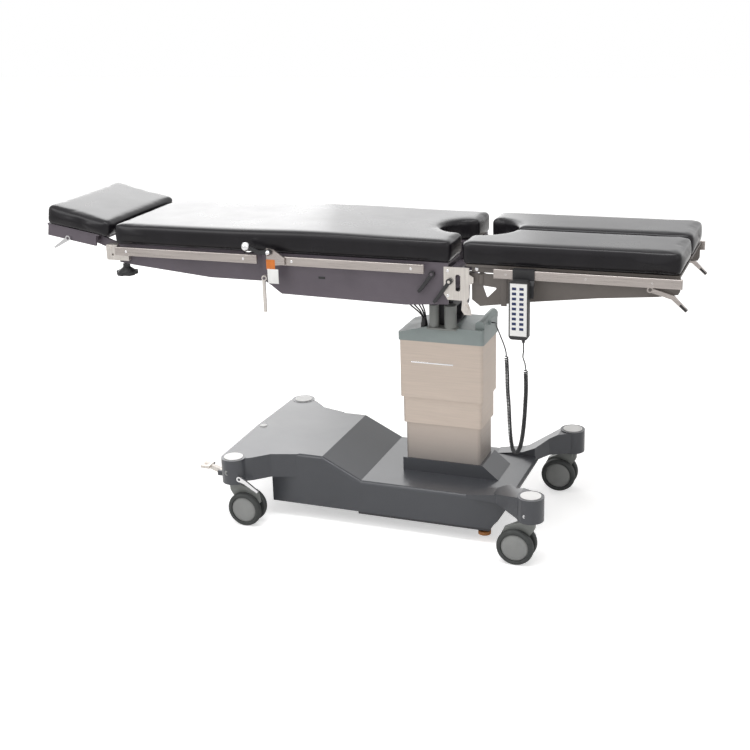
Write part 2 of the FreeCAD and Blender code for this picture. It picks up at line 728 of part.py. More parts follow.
def clamp_lever(name, pivot, tip, side):
    """A cranked steel lever with a round grip, on its pivot beside the leg hinge."""
    y_low = "-(%s) - 10" % BRACKET_OUT
    y_high = "-(%s) - 0.5" % BRACKET_OUT
    eye = rod(name + "_eye", "Y", pivot, "boss_radius", y_low, y_high)
    arm = plate(name + "_arm", "XZ", [
        ("%s - 5" % pivot[0], "%s + 2" % pivot[1]),
        ("%s + 6" % pivot[0], "%s - 4" % pivot[1]),
        ("%s + 7" % tip[0], "%s - 1" % tip[1]),
        ("%s + 1" % tip[0], "%s - 5" % tip[1]),
        ("%s - 5" % tip[0], "%s + 2" % tip[1]),
    ], y_low, y_high)
    round_edges(arm, "lever_radius / 2.5", lambda middle, direction, edge: abs(direction.y) < 0.01)
    hole = rod(name + "_hole", "Y", pivot, "lever_radius + hinge_gap", y_low + " - 1", y_high + " + 1")
    return cut(name, fuse(name + "_solid", [eye, arm]), hole)


LEVER_A = ("seat_rail_foot + 21", "leg_hinge_z + 12")
LEVER_B = ("bracket_head + 20", "leg_hinge_z - 9")
lever_a = part(clamp_lever("clamp_lever_a_right", LEVER_A, ("seat_rail_foot - 24", "leg_hinge_z - 48"), "-1"))
part(mirrored("clamp_lever_a_left", lever_a))
lever_b = part(clamp_lever("clamp_lever_b_right", LEVER_B, ("bracket_head - 31", "leg_hinge_z - 80"), "-1"))
part(mirrored("clamp_lever_b_left", lever_b))

# Leg yoke: the eye on the cross pin, the upright eye of the spread pin and the deep hinge plate beside it

LEG_OUT = "leg_plate_inner + leg_plate_thick"
LUG_HIGH = "leg_hinge_z + yoke_half + lug_gap"

eye_cross = rod("yoke_eye_cross", "Y", ("leg_hinge_x", "leg_hinge_z"), "yoke_eye_radius", "-(%s)" % YOKE_OUT,
                "-(%s)" % YOKE_IN)
eye_spread = rod("yoke_eye_spread", "Z", ("spread_x", "-spread_y"), "spread_eye_radius",
                 "leg_hinge_z - yoke_half", "leg_hinge_z + yoke_half")
yoke_web = box("yoke_web", ("leg_hinge_x", "spread_x"), ("-spread_y - 8", "8 - spread_y"),
               ("leg_hinge_z - yoke_half", "leg_hinge_z + yoke_half"))
yoke_plate = plate("yoke_plate", "XZ", [
    ("leg_hinge_x + 10", "%s - hinge_plate_gap / 2" % LUG_HIGH),
    ("leg_hinge_x + 10", "leg_hinge_z - 68"),
    ("leg_hinge_x + 37", "leg_hinge_z - 89"),
    ("spread_x + hinge_plate_reach", "leg_hinge_z - 78"),
    ("spread_x + hinge_plate_reach", "%s - hinge_plate_gap / 2" % LUG_HIGH),
], "-(%s)" % LEG_OUT, "-(spread_y + spread_pin_radius + hinge_gap * 2)")
yoke_window = plate("yoke_window", "XZ", [
    ("spread_x + 6", "leg_hinge_z - 20"),
    ("spread_x + 54", "leg_hinge_z - 25"),
    ("spread_x + 20", "leg_hinge_z - 60"),
], "-(%s + 1)" % LEG_OUT, "-spread_y")
round_edges(yoke_window, "3", lambda middle, direction, edge: abs(direction.y) > 0.99)
yoke_side = cut("yoke_side", yoke_plate, yoke_window)
yoke_holes = fuse("yoke_holes", [
    rod("yoke_hole_cross", "Y", ("leg_hinge_x", "leg_hinge_z"), "hinge_pin_radius + hinge_gap",
        "-(%s) - 1" % YOKE_OUT, "1 - (%s)" % YOKE_IN),
    rod("yoke_hole_spread", "Z", ("spread_x", "-spread_y"), "spread_pin_radius + hinge_gap",
        "leg_hinge_z - yoke_half - 1", "leg_hinge_z + yoke_half + 1"),
])
leg_yoke = part(cut("leg_yoke_right", fuse("yoke_solid", [eye_cross, eye_spread, yoke_web, yoke_side]), yoke_holes))
part(mirrored("leg_yoke_left", leg_yoke))

# Leg frame: a deep outer plate that starts past the hinge plate, a lug with the spread pin, two tubes and the board

LUG_LOW = "leg_hinge_z - yoke_half - lug_gap"
LEG_PLATE_HEAD = "spread_x + hinge_plate_reach + hinge_plate_gap"
leg_side = plate("leg_side", "XZ", [
    ("leg_hinge_x + 10", LUG_HIGH),
    ("leg_hinge_x + 10", BOARD_LOW),
    ("leg_plate_foot", BOARD_LOW),
    ("leg_plate_foot", "leg_hinge_z - 1"),
    ("leg_plate_foot - 5", "leg_hinge_z - 11"),
    ("leg_plate_foot - 70", "leg_hinge_z - 22"),
    ("leg_plate_foot - 247", "leg_hinge_z - 38"),
    ("leg_hinge_x + 194", "leg_hinge_z - 65"),
    (LEG_PLATE_HEAD, "leg_hinge_z - 76"),
    (LEG_PLATE_HEAD, LUG_HIGH),
], "-(%s)" % LEG_OUT, "-leg_plate_inner")
leg_lug = box("leg_lug", ("spread_x - 14", "spread_x + 40"), ("-leg_plate_inner - 2", "13 - spread_y"),
              (LUG_HIGH, BOARD_LOW))
spread_pin = rod("spread_pin", "Z", ("spread_x", "-spread_y"), "spread_pin_radius", LUG_LOW, LUG_HIGH + " + 6")
leg_tubes = [rod("leg_tube%d" % n, "Y", (spot, "%s - leg_tube_radius * 0.7" % BOARD_LOW), "leg_tube_radius",
                 "-leg_plate_inner - 1", "-leg_pad_gap / 2 - 20")
             for n, spot in enumerate(["spread_x + 90", "leg_plate_foot - 60"])]
leg_beam = box("leg_beam", ("spread_x + 70", "leg_plate_foot - 40"), ("-leg_pad_gap / 2 - 40", "-leg_pad_gap / 2 - 20"),
               ("%s - leg_tube_radius * 2" % BOARD_LOW, BOARD_LOW))
leg_board = plate("leg_board", "XY", rectangle(("leg_hinge_x - 7", "leg_plate_foot"), ("-(%s) - 10" % LEG_OUT,
                                                                                      "-leg_pad_gap / 2 - 6")),
                  BOARD_LOW, PAD_BOTTOM)
bore(leg_board, "XY", ("leg_pad_head", "0"), "leg_notch_radius + 8", BOARD_LOW, PAD_BOTTOM)
leg_lever_pin = rod("leg_lever_pin", "Y", ("leg_plate_foot - 87", "leg_hinge_z + 2"), "lever_radius",
                    "-(%s) - 12" % LEG_OUT, "-leg_plate_inner")
leg_frame = part(fuse("leg_frame_right", [leg_side, leg_lug, spread_pin] + leg_tubes + [leg_beam, leg_board,
                                                                                        leg_lever_pin]))
part(mirrored("leg_frame_left", leg_frame))

LEG_LEVER_LOW = "-(%s) - 10" % LEG_OUT
LEG_LEVER_HIGH = "-(%s) - 0.5" % LEG_OUT
leg_eye = rod("leg_lever_eye", "Y", ("leg_plate_foot - 87", "leg_hinge_z + 2"), "boss_radius", LEG_LEVER_LOW,
              LEG_LEVER_HIGH)
leg_arm = plate("leg_lever_arm", "XZ", [
    ("leg_plate_foot - 89", "leg_hinge_z + 9"),
    ("leg_plate_foot - 90", "leg_hinge_z - 5"),
    ("leg_plate_foot - 23", "leg_hinge_z - 24"),
    ("leg_plate_foot + 20", "leg_hinge_z - 62"),
    ("leg_plate_foot + 26", "leg_hinge_z - 55"),
    ("leg_plate_foot - 16", "leg_hinge_z - 12"),
], LEG_LEVER_LOW, LEG_LEVER_HIGH)
leg_lever_hole = rod("leg_lever_hole", "Y", ("leg_plate_foot - 87", "leg_hinge_z + 2"), "lever_radius + hinge_gap",
                     LEG_LEVER_LOW + " - 1", LEG_LEVER_HIGH + " + 1")
leg_lever = part(cut("leg_lever_right", fuse("leg_lever_solid", [leg_eye, leg_arm]), leg_lever_hole))
part(mirrored("leg_lever_left", leg_lever))

# Back release lever: a hub, a bent flat arm and a ball grip

CRANK_LOW = "-(%s + crank_plate_thick + 12)" % CRANK_FACE
CRANK_HIGH = "-(%s + crank_plate_thick + 0.5)" % CRANK_FACE
crank_hub = rod("crank_hub", "Y", ("crank_x", "crank_z"), "boss_radius", CRANK_LOW, CRANK_HIGH)
crank_arm = plate("crank_arm", "XZ", [
    ("crank_x + 2", "crank_z - 8"),
    ("crank_x + 2", "crank_z + 8"),
    ("crank_x - 34", "crank_z + 4"),
    ("crank_x - 78", "crank_z + 21"),
    ("crank_x - 82", "crank_z + 12"),
    ("crank_x - 38", "crank_z - 8"),
], CRANK_LOW, CRANK_LOW + " + 8")
crank_ball = ball("crank_ball", "crank_x - 82", CRANK_LOW + " + 2", "crank_z + 17", "crank_ball_radius")
crank_hole = rod("crank_hole", "Y", ("crank_x", "crank_z"), "lever_radius + hinge_gap", CRANK_LOW + " - 1",
                 CRANK_HIGH + " + 1")
part(cut("back_release_lever", fuse("crank_solid", [crank_hub, crank_arm, crank_ball]), crank_hole))

# Drop lever that hangs below the back hinge

DROP_LOW = "-(%s) - 14" % SEAT_OUT
DROP_HIGH = "-(%s) - 0.5" % SEAT_OUT
drop_eye = rod("drop_eye", "Y", ("drop_x", "drop_z"), "boss_radius", DROP_LOW, DROP_HIGH)
drop_rod = rod("drop_rod", "Z", ("drop_x - 4", DROP_LOW + " + 7"), "lever_radius + 1", "drop_z - drop_length",
               "drop_z - 4")
drop_hole = rod("drop_hole", "Y", ("drop_x", "drop_z"), "lever_radius + hinge_gap", DROP_LOW + " - 1",
                DROP_HIGH + " + 1")
part(cut("drop_lever", fuse("drop_solid", [drop_eye, drop_rod]), drop_hole))

# Column covers: three rectangular sleeves, the widest at the top


def sleeve(name, half_x, half_y, low, high):
    """An open-ended rectangular sleeve of sheet steel with rounded corners."""
    def ring(label, shrink, z):
        body = plate(label, "XY", rectangle(("column_x - %s + %s" % (half_x, shrink),
                                             "column_x + %s - %s" % (half_x, shrink)),
                                            ("%s - %s" % (shrink, half_y), "%s - %s" % (half_y, shrink))), z[0], z[1])
        return round_edges(body, "stage_corner - %s" % shrink, upright)
    return cut(name, ring(name + "_outer", "0", (low, high)),
               ring(name + "_inner", "stage_wall", (low + " - 1", high + " + 1")))


part(sleeve("column_cover_upper", "upper_half_x", "upper_half_y", "upper_low", "upper_top"))
middle_sleeve = sleeve("middle_sleeve", "middle_half_x", "middle_half_y", "middle_low", "middle_top")
guides = []
for n, side in enumerate(["-1", "1"]):
    inner = "column_x + %s * (lower_half_x + guide_gap)" % side
    outer = "column_x + %s * (middle_half_x - stage_wall)" % side
    span = (outer, inner) if side == "-1" else (inner, outer)
    guides.append(box("middle_guide%d" % n, span, ("-guide_half", "guide_half"), ("middle_low", "middle_low + guide_tall")))
part(fuse("column_cover_middle", [middle_sleeve] + guides))
part(sleeve("column_cover_lower", "lower_half_x", "lower_half_y", "plinth_top", "lower_top"))

CAP_X = ("column_x - upper_half_x - cap_rim", "column_x + upper_half_x + cap_rim")
CAP_Y = ("-upper_half_y - cap_rim + 1", "upper_half_y + cap_rim - 1")
cap = plate("column_cap", "XZ", [
    (CAP_X[0], "cap_low"),
    (CAP_X[1], "cap_low"),
    (CAP_X[1], "cap_top"),
    ("column_x - cheek_half_x - 14", "cap_top"),
    (CAP_X[0], "cap_head_top"),
], CAP_Y[0], CAP_Y[1])
round_edges(cap, "stage_corner", upright)
hump = rod("cap_hump_round", "Y", ("%s - 16" % CAP_X[1], "cap_hump - 16"), "16", "%s + 14" % CAP_Y[0], CAP_Y[1] + " - 4")
hump_foot = box("cap_hump_foot", ("%s - 32" % CAP_X[1], CAP_X[1]), ("%s + 14" % CAP_Y[0], CAP_Y[1] + " - 4"),
                ("cap_top", "cap_hump - 16"))
cap.Label = "column_cap_body"
cord_boss = rod("cord_boss", "X", ("-22", "cap_top + 10"), "8", "%s - 2" % CAP_X[1], CAP_X[1] + " + 8")
GLAND_SPOT = ("column_x - 62", "-upper_half_y + 18")
gland_seat = rod("gland_seat", "Z", GLAND_SPOT, "12", "cap_head_top + 10", "cap_top + 1")
cap_all = cut("column_cap_all", fuse("column_cap_solid", [cap, hump, hump_foot, cord_boss]), gland_seat)
cap_all.Label = "column_cap"
part(cap_all)

part(rod("lift_ram", "Z", ("column_x", "0"), "ram_radius", "ram_low", "cap_low"))
cylinder_outer = rod("cylinder_outer", "Z", ("column_x", "0"), "cylinder_radius", "cylinder_low", "cylinder_top")
cylinder_inner = rod("cylinder_inner", "Z", ("column_x", "0"), "cylinder_bore", "cylinder_low - 1",
                     "cylinder_top + 1")
part(cut("lift_cylinder", cylinder_outer, cylinder_inner))

# Tilt joint: a yoke on the cap, a cross block with two pairs of pins, and the tilt motors

yoke_floor = box("tilt_yoke_floor", ("column_x - cheek_half_x - 10", "column_x + cheek_half_x + 10"),
                 ("-cheek_inner - cheek_thick", "cheek_inner + cheek_thick"), ("cap_top", "cap_top + yoke_base_thick"))
cheek = plate("tilt_cheek", "XZ", [
    ("column_x - cheek_half_x", "cap_top + yoke_base_thick"),
    ("column_x + cheek_half_x", "cap_top + yoke_base_thick"),
    ("column_x + cheek_half_x * 0.6", "tilt_z + 20"),
    ("column_x - cheek_half_x * 0.6", "tilt_z + 20"),
], "-cheek_inner - cheek_thick", "-cheek_inner")
bore(cheek, "XZ", ("column_x", "tilt_z"), "tilt_pin_radius + hinge_gap", "-cheek_inner - cheek_thick", "-cheek_inner")
round_edges(cheek, "cheek_half_x / 3", lambda middle, direction, edge: abs(direction.y) > 0.99
            and middle.z > value("tilt_z") + 15)
part(fuse("head_yoke", [yoke_floor, both("tilt_cheeks", cheek)]))

block = box("cross_block", ("column_x - block_half_x", "column_x + block_half_x"), ("-block_half_y", "block_half_y"),
            ("tilt_z - block_half_z", "tilt_z + block_half_z"))
pin_cross = rod("cross_pin_y", "Y", ("column_x", "tilt_z"), "tilt_pin_radius", "-cheek_inner - cheek_thick - 2",
                "cheek_inner + cheek_thick + 2")
pin_long = rod("cross_pin_x", "X", ("0", "tilt_z"), "tilt_pin_radius", "column_x - lug_inner - lug_thick - 2",
               "column_x + lug_inner + lug_thick + 2")
part(fuse("cardan_block", [block, pin_cross, pin_long]))

motor_foot = box("motor_foot", ("column_x - 38", "column_x + 64"), ("motor_y - motor_radius", "-upper_half_y + 12"),
                 ("cap_top", "cap_top + 6"))
motors = [rod("motor%d" % n, "Z", (spot, "motor_y"), radius, "cap_top + 6", "motor_top")
          for n, (spot, radius) in enumerate([("column_x - 17", "motor_radius * 0.8"), ("column_x + 40", "motor_radius")])]
part(fuse("tilt_motors", [motor_foot] + motors))

gland_base = rod("cable_gland_base", "Z", GLAND_SPOT, "12", "cap_head_top + 10", "cap_top + 6")
gland_boot = cone("cable_gland_boot", "Z", GLAND_SPOT, ("11", "8"), "cap_top + 6", "cap_top + 26")
part(fuse("cable_gland", [gland_base, gland_boot]))

# Base cover: a high head end, a sloping crest, a low deck and two arms to the foot casters

PLINTH = ("column_x - lower_half_x - 12", "column_x + lower_half_x + 10")
spine = plate("base_spine", "XZ", [
    ("base_wall_head", "base_low"),
    ("arch_foot", "base_low"),
    ("arch_foot + 30", "base_low + 34"),
    ("deck_foot - 8", "deck_z - 40"),
    ("deck_foot", "deck_z - 22"),
    ("deck_foot", "deck_z"),
    ("deck_start_x", "deck_z"),
    ("crest_x", "plateau_z"),
    ("base_head + 60", "plateau_z"),
    ("base_head + 60", "wing_low"),
    ("base_wall_head", "wing_low"),
], "-base_half_wide", "base_half_wide")
round_edges(spine, "pad_edge", lambda middle, direction, edge: abs(direction.y) < 0.5
            and abs(abs(middle.y) - value("base_half_wide")) < 1 and middle.z > value("deck_z") - 1
            and middle.x > value("base_head") + 61)
head_wings = plate("base_head_wings", "XY", [
    ("base_head", "-boss_half_y"),
    ("head_boss_x + boss_wide_radius", "-boss_half_y"),
    ("head_boss_x + 66", "14 - boss_half_y"),
    ("head_boss_x + 115", "63 - boss_half_y"),
    ("head_boss_x + 211", "92 - boss_half_y"),
    ("head_boss_x + 211", "boss_half_y - 92"),
    ("head_boss_x + 115", "boss_half_y - 63"),
    ("head_boss_x + 66", "boss_half_y - 14"),
    ("head_boss_x + boss_wide_radius", "boss_half_y"),
    ("base_head", "boss_half_y"),
    ("base_head - 8", "0"),
], "wing_low", "plateau_z")


def foot_arm_outline(name):
    return plate(name, "XY", [
        ("deck_foot - 146", "-base_half_wide"),
        ("deck_foot - 38", "-base_half_wide - 8"),
        ("foot_boss_x - boss_wide_radius - 6", "-boss_half_y - 8"),
        ("foot_boss_x - 20", "-boss_half_y - boss_wide_radius + 4"),
        ("foot_boss_x + 30", "30 - boss_half_y"),
        ("deck_foot + 33", "-base_half_wide - 9"),
        ("deck_foot - 4", "-base_half_wide + 60"),
        ("deck_foot - 146", "-base_half_wide + 60"),
    ], "wing_low", "foot_boss_top")


arm_side = plate("base_arm_side", "XZ", [
    ("deck_foot - 150", "wing_low"),
    ("foot_boss_x + 60", "wing_low"),
    ("foot_boss_x + 60", "foot_boss_top"),
    ("foot_boss_x - 40", "foot_boss_top - 4"),
    ("deck_foot - 50", "deck_z + 14"),
    ("deck_foot - 150", "deck_z - 1"),
], "-boss_half_y - 60", "0")
arm = common("base_foot_arm", foot_arm_outline("base_arm_plan"), arm_side)
plinth = plate("base_plinth", "XZ", [
    (PLINTH[0], "deck_z - 2"),
    (PLINTH[1] + " + plinth_rise_out", "deck_z - 2"),
    (PLINTH[1], "plinth_top"),
    (PLINTH[0], "plinth_top"),
], "-plinth_front", "plinth_front")


def boss(name, x, side, top):
    return rod(name, "Z", (x, "%s * boss_half_y" % side), "boss_wide_radius", "boss_low", top)


bosses = [boss("boss_head_%s" % side, "head_boss_x", side, "boss_top") for side in ("-1", "1")]
bosses += [boss("boss_foot_%s" % side, "foot_boss_x", side, "foot_boss_top") for side in ("-1", "1")]
stems = [rod("stem_hole%d" % n, "Z", (x, "%s * boss_half_y" % side), "stem_radius + hinge_gap", "boss_low - 1",
             "stem_high + 1") for n, (x, side) in enumerate([("head_boss_x", "-1"), ("head_boss_x", "1"),
                                                             ("foot_boss_x", "-1"), ("foot_boss_x", "1")])]
cylinder_well = rod("cylinder_well", "Z", ("column_x", "0"), "cylinder_radius + 1", "base_low - 1", "plinth_top + 1")
PEDAL_X = "base_head - 12"
bearings = []
for n, side in enumerate(["-1", "1"]):
    inner = "pedal_y + %s * 14.5" % side
    outer = "pedal_y + %s * 22" % side
    span = (outer, inner) if side == "-1" else (inner, outer)
    bearings.append(box("pedal_bearing%d" % n, (PEDAL_X + " - 7", "base_head + 6"), span,
                        ("wing_low + 12", "wing_low + 30")))
pedal_pin = rod("pedal_pin", "Y", (PEDAL_X, "wing_low + 21"), "lever_radius", "pedal_y - 22", "pedal_y + 22")
BRAKE_PIVOT = ("head_boss_x + 38", "wing_low + 22")
BRAKE_LOW = "-boss_half_y - boss_wide_radius + 0.5"
BRAKE_HIGH = BRAKE_LOW + " + 8"
brake_pin = rod("brake_pin", "Y", BRAKE_PIVOT, "lever_radius", BRAKE_LOW, "-boss_half_y")
cover_solid = fuse("base_cover_solid", [spine, head_wings, both("base_arms", arm), plinth] + bosses + bearings
                   + [pedal_pin, brake_pin])
LOCK_SPOTS = [("foot_lock_x", "-foot_lock_y"), ("foot_lock_x", "foot_lock_y")]
lock_holes = [rod("lock_hole%d" % n, "Z", spot, "foot_stem_radius + hinge_gap", "plate_low - 1", "base_low + 65")
              for n, spot in enumerate(LOCK_SPOTS)]
part(cut("base_cover", cover_solid, fuse("base_cover_holes", stems + [cylinder_well] + lock_holes)))

plate_solid = box("base_plate_solid", ("plate_head", "arch_foot - 2"), ("-plate_half_wide", "plate_half_wide"),
                  ("plate_low", "base_low"))
plate_holes = [rod("plate_hole%d" % n, "Z", spot, "foot_stem_radius + hinge_gap", "plate_low - 1", "base_low + 1")
               for n, spot in enumerate(LOCK_SPOTS)]
part(cut("base_plate", plate_solid, fuse("base_plate_holes", plate_holes)))

DISC_SPOTS = [("head_boss_x", "-boss_half_y", "boss_top"), ("head_boss_x", "boss_half_y", "boss_top"),
              ("base_head + 16", "0", "plateau_z"), ("foot_boss_x", "-boss_half_y", "foot_boss_top"),
              ("foot_boss_x", "boss_half_y", "foot_boss_top")]
discs = [rod("corner_disc%d" % n, "Z", (x, y), "disc_radius" if n != 2 else "disc_radius / 2.5", z,
             z + " + disc_thick") for n, (x, y, z) in enumerate(DISC_SPOTS)]
part(fuse("corner_discs", discs))

lock_pads = []
for n, spot in enumerate(LOCK_SPOTS):
    lock_pads.append(rod("lock_pad%d" % n, "Z", spot, "foot_pad_radius", "foot_pad_low",
                         "foot_pad_low + foot_pad_thick"))
    lock_pads.append(rod("lock_stem%d" % n, "Z", spot, "foot_stem_radius", "foot_pad_low", "base_low + 40"))
part(fuse("lock_feet", lock_pads))

# Casters: twin wheels on a slim body that swivels in the boss


def caster(end, hand, boss_x, way, side):
    """One caster, its wheel trailing the given way along X from the swivel stem."""
    tag = "%s_%s" % (end, hand)
    y = "%s * boss_half_y" % side
    wheel_x = "%s + %s * caster_trail" % (boss_x, way)
    fork = plate("fork_blade_" + tag, "XZ", [
        ("%s - %s * 17" % (boss_x, way), "fork_top"),
        ("%s + %s * 19" % (boss_x, way), "fork_top"),
        ("%s + %s * 42" % (wheel_x, way), "wheel_radius + 56"),
        ("%s + %s * 50" % (wheel_x, way), "wheel_radius + 20"),
        ("%s + %s * 12" % (wheel_x, way), "wheel_radius - 14"),
        ("%s - %s * 14" % (wheel_x, way), "wheel_radius - 10"),
        ("%s - %s * 15" % (boss_x, way), "fork_top - 30"),
    ] if way == "1" else [
        ("%s - %s * 15" % (boss_x, way), "fork_top - 30"),
        ("%s - %s * 14" % (wheel_x, way), "wheel_radius - 10"),
        ("%s + %s * 12" % (wheel_x, way), "wheel_radius - 14"),
        ("%s + %s * 50" % (wheel_x, way), "wheel_radius + 20"),
        ("%s + %s * 42" % (wheel_x, way), "wheel_radius + 56"),
        ("%s + %s * 19" % (boss_x, way), "fork_top"),
        ("%s - %s * 17" % (boss_x, way), "fork_top"),
    ], y + " - fork_half", y + " + fork_half")
    stem = rod("fork_stem_" + tag, "Z", (boss_x, y), "stem_radius", "fork_top - 20", "stem_high")
    hole = rod("fork_hole_" + tag, "Y", (wheel_x, "wheel_radius"), "axle_radius + hinge_gap", y + " - fork_half - 1",
               y + " + fork_half + 1")
    part(cut("caster_fork_" + tag, fuse("fork_solid_" + tag, [fork, stem]), hole))
    halves = []
    for n, span in enumerate([("wheel_inner", "wheel_outer"), ("-wheel_outer", "-wheel_inner")]):
        tyre = doc.addObject("Part::Cylinder", "tyre%d_%s" % (n, tag))
        bind(tyre, "Radius", "wheel_radius")
        bind(tyre, "Height", "wheel_outer - wheel_inner")
        along(tyre, "Y", (wheel_x, "wheel_radius"), "%s + %s" % (y, span[0]))
        dish_low = "wheel_outer - 6" if n == 0 else "-wheel_outer - 1"
        dish_high = "wheel_outer + 1" if n == 0 else "6 - wheel_outer"
        dish = rod("dish%d_%s" % (n, tag), "Y", (wheel_x, "wheel_radius"), "wheel_radius * 0.62",
                   "%s + %s" % (y, dish_low), "%s + %s" % (y, dish_high))
        halves.append(cut("half%d_%s" % (n, tag), tyre, dish))
    axle = rod("axle_" + tag, "Y", (wheel_x, "wheel_radius"), "axle_radius", y + " - wheel_outer",
               y + " + wheel_outer")
    part(fuse("caster_wheel_" + tag, halves + [axle]))


caster("head", "right", "head_boss_x", "1", "-1")
caster("head", "left", "head_boss_x", "1", "1")
caster("foot", "right", "foot_boss_x", "-1", "-1")
caster("foot", "left", "foot_boss_x", "-1", "1")

# Brake controls at the head end: a foot pedal and a hand lever on the near boss

pedal_arm = plate("pedal_arm", "XZ", [
    (PEDAL_X + " - 4", "wing_low + 13"),
    (PEDAL_X + " + 4", "wing_low + 29"),
    (PEDAL_X + " - 66", "wing_low + 48"),
    (PEDAL_X + " - 68", "wing_low + 36"),
], "pedal_y - 8", "pedal_y + 8")
pedal_tread = box("pedal_tread", (PEDAL_X + " - 74", PEDAL_X + " - 40"), ("pedal_y - pedal_half", "pedal_y + pedal_half"),
                  ("wing_low + 33", "wing_low + 43"))
pedal_hub = rod("pedal_hub", "Y", (PEDAL_X, "wing_low + 21"), "boss_radius", "pedal_y - 14", "pedal_y + 14")
pedal_hole = rod("pedal_hole", "Y", (PEDAL_X, "wing_low + 21"), "lever_radius + hinge_gap", "pedal_y - 15",
                 "pedal_y + 15")
part(cut("brake_pedal", fuse("pedal_solid", [pedal_arm, pedal_tread, pedal_hub]), pedal_hole))
brake_eye = rod("brake_eye", "Y", BRAKE_PIVOT, "boss_radius", BRAKE_LOW, BRAKE_HIGH)
brake_arm = plate("brake_arm", "XZ", [
    ("head_boss_x + 36", "wing_low + 14"),
    ("head_boss_x + 40", "wing_low + 31"),
    ("head_boss_x + 62", "wing_low + 20"),
    ("head_boss_x + 110", "wing_low - 14"),
    ("head_boss_x + 106", "wing_low - 22"),
    ("head_boss_x + 58", "wing_low + 6"),
], BRAKE_LOW, BRAKE_HIGH)
brake_hole = rod("brake_hole", "Y", BRAKE_PIVOT, "lever_radius + hinge_gap", BRAKE_LOW + " - 1", BRAKE_HIGH + " + 1")
part(cut("caster_brake_lever", fuse("brake_solid", [brake_eye, brake_arm]), brake_hole))

# Handset: a slim box with a recessed keypad, on a hook over the rail

HANDSET_X = ("handset_x - handset_wide / 2", "handset_x + handset_wide / 2")
HANDSET_BACK = "rail_half_span + handset_gap"
HANDSET_Y = ("-(%s) - handset_deep" % HANDSET_BACK, "-(%s)" % HANDSET_BACK)
shell = plate("handset_box", "XZ", rectangle(HANDSET_X, ("handset_top - handset_tall", "handset_top")),
              HANDSET_Y[0], HANDSET_Y[1])
round_edges(shell, "pad_edge", lambda middle, direction, edge: abs(direction.y) > 0.99)
recess = box("keypad_recess", (HANDSET_X[0] + " + keypad_edge", HANDSET_X[1] + " - keypad_edge"),
             (HANDSET_Y[0] + " - 1", HANDSET_Y[0] + " + keypad_depth"),
             ("handset_top - handset_tall + keypad_edge * 3", "handset_top - keypad_edge * 2"))
HOOK_TOP = "rail_top + 1 + hook_thick"
hook = plate("handset_hook", "YZ", [
    (HANDSET_Y[1], "handset_top - 60"),
    (HANDSET_Y[1], "handset_top - 20"),
    ("-rail_half_span - 1 - hook_thick", "rail_top - rail_height"),
    ("-rail_half_span - 1 - hook_thick", HOOK_TOP),
    ("rail_thick - rail_half_span + 1 + hook_thick", HOOK_TOP),
    ("rail_thick - rail_half_span + 1 + hook_thick", "rail_top - rail_height / 2 + spacer_radius + 1"),
    ("rail_thick - rail_half_span + 1", "rail_top - rail_height / 2 + spacer_radius + 1"),
    ("rail_thick - rail_half_span + 1", "rail_top + 1"),
    ("-rail_half_span - 1", "rail_top + 1"),
    ("-rail_half_span - 1", "rail_top - rail_height - 4"),
], "handset_x - handset_wide / 2 + 3", "handset_x + handset_wide / 2 + hook_reach")
relief = cone("handset_relief", "Z", ("handset_x + 14", "-(%s) - handset_deep / 2" % HANDSET_BACK), ("4", "6"),
              "handset_top - handset_tall - 12", "handset_top - handset_tall")
part(fuse("handset_shell", [cut("handset_recessed", shell, recess), hook, relief]))
keypad = box("keypad_mat", (HANDSET_X[0] + " + keypad_edge", HANDSET_X[1] + " - keypad_edge"),
             (HANDSET_Y[0] + " + 0.4", HANDSET_Y[0] + " + keypad_depth"),
             ("handset_top - handset_tall + keypad_edge * 3", "handset_top - keypad_edge * 2"))
keypad.Label = "handset_keypad"
part(keypad)

# Cords

CORD_OUT = [(648, -291, 749.7), (648, -291, 738), (650, -293, 722), (645, -292, 704), (653, -286, 682),
            (654, -285, 664.4)]
COIL = [(654, -285, 664), (656, -282, 606), (653, -278, 546), (649, -274, 486), (642, -266, 428), (632, -255, 382),
        (617, -240, 352), (600, -226, 352), (589, -214, 388), (582, -204, 440), (578, -198, 498), (572, -195, 556),
        (570, -191, 614), (566, -190, 672)]
LEAD = [(566, -190, 672.4), (565, -189, 684), (553, -173, 703), (537, -148, 717), (515, -106, 730), (495, -62, 734),
        (490, -22, 727), (470.4, -22, 726)]
CABLE = [(248, -72, 742.8), (248, -72, 758), (238, -100, 798), (225, -117, 832), (222, -120, 848),
         (222, -120, 861.7)]


def tube(name, points, diameter):
    """Straight runs joined by tangent arcs, as large as the shorter run beside each allows."""
    spots = [Vector(*point) for point in points]
    edges = []
    start = spots[0]
    for before, corner, after in zip(spots, spots[1:], spots[2:]):
        back = (before - corner).normalize()
        onward = (after - corner).normalize()
        turn = math.pi - back.getAngle(onward)
        reach = 0.45 * min(before.distanceToPoint(corner), after.distanceToPoint(corner))
        radius = reach / math.tan(turn / 2)
        print(name, "turn %.0f" % math.degrees(turn), "radius %.0f" % radius)
        first = corner + back * reach
        last = corner + onward * reach
        inward = (back + onward).normalize()
        middle = corner + inward * (radius / math.cos(turn / 2) - radius)
        edges.append(Part.LineSegment(start, first).toShape())
        edges.append(Part.Arc(first, middle, last).toShape())
        start = last
    edges.append(Part.LineSegment(start, spots[-1]).toShape())
    path = Part.Wire(edges)
    ring = Part.Wire([Part.Circle(spots[0], spots[1] - spots[0], diameter / 2).toShape()])
    solid = path.makePipeShell([ring], True, True)
    section = math.pi * diameter ** 2 / 4
    print(name, "length %.0f" % path.Length, "volume ratio %.3f" % (solid.Volume / section / path.Length))
    return solid


def cord_feature(name, shape):
    item = doc.addObject("Part::Feature", name)
    item.Shape = shape
    return part(item)


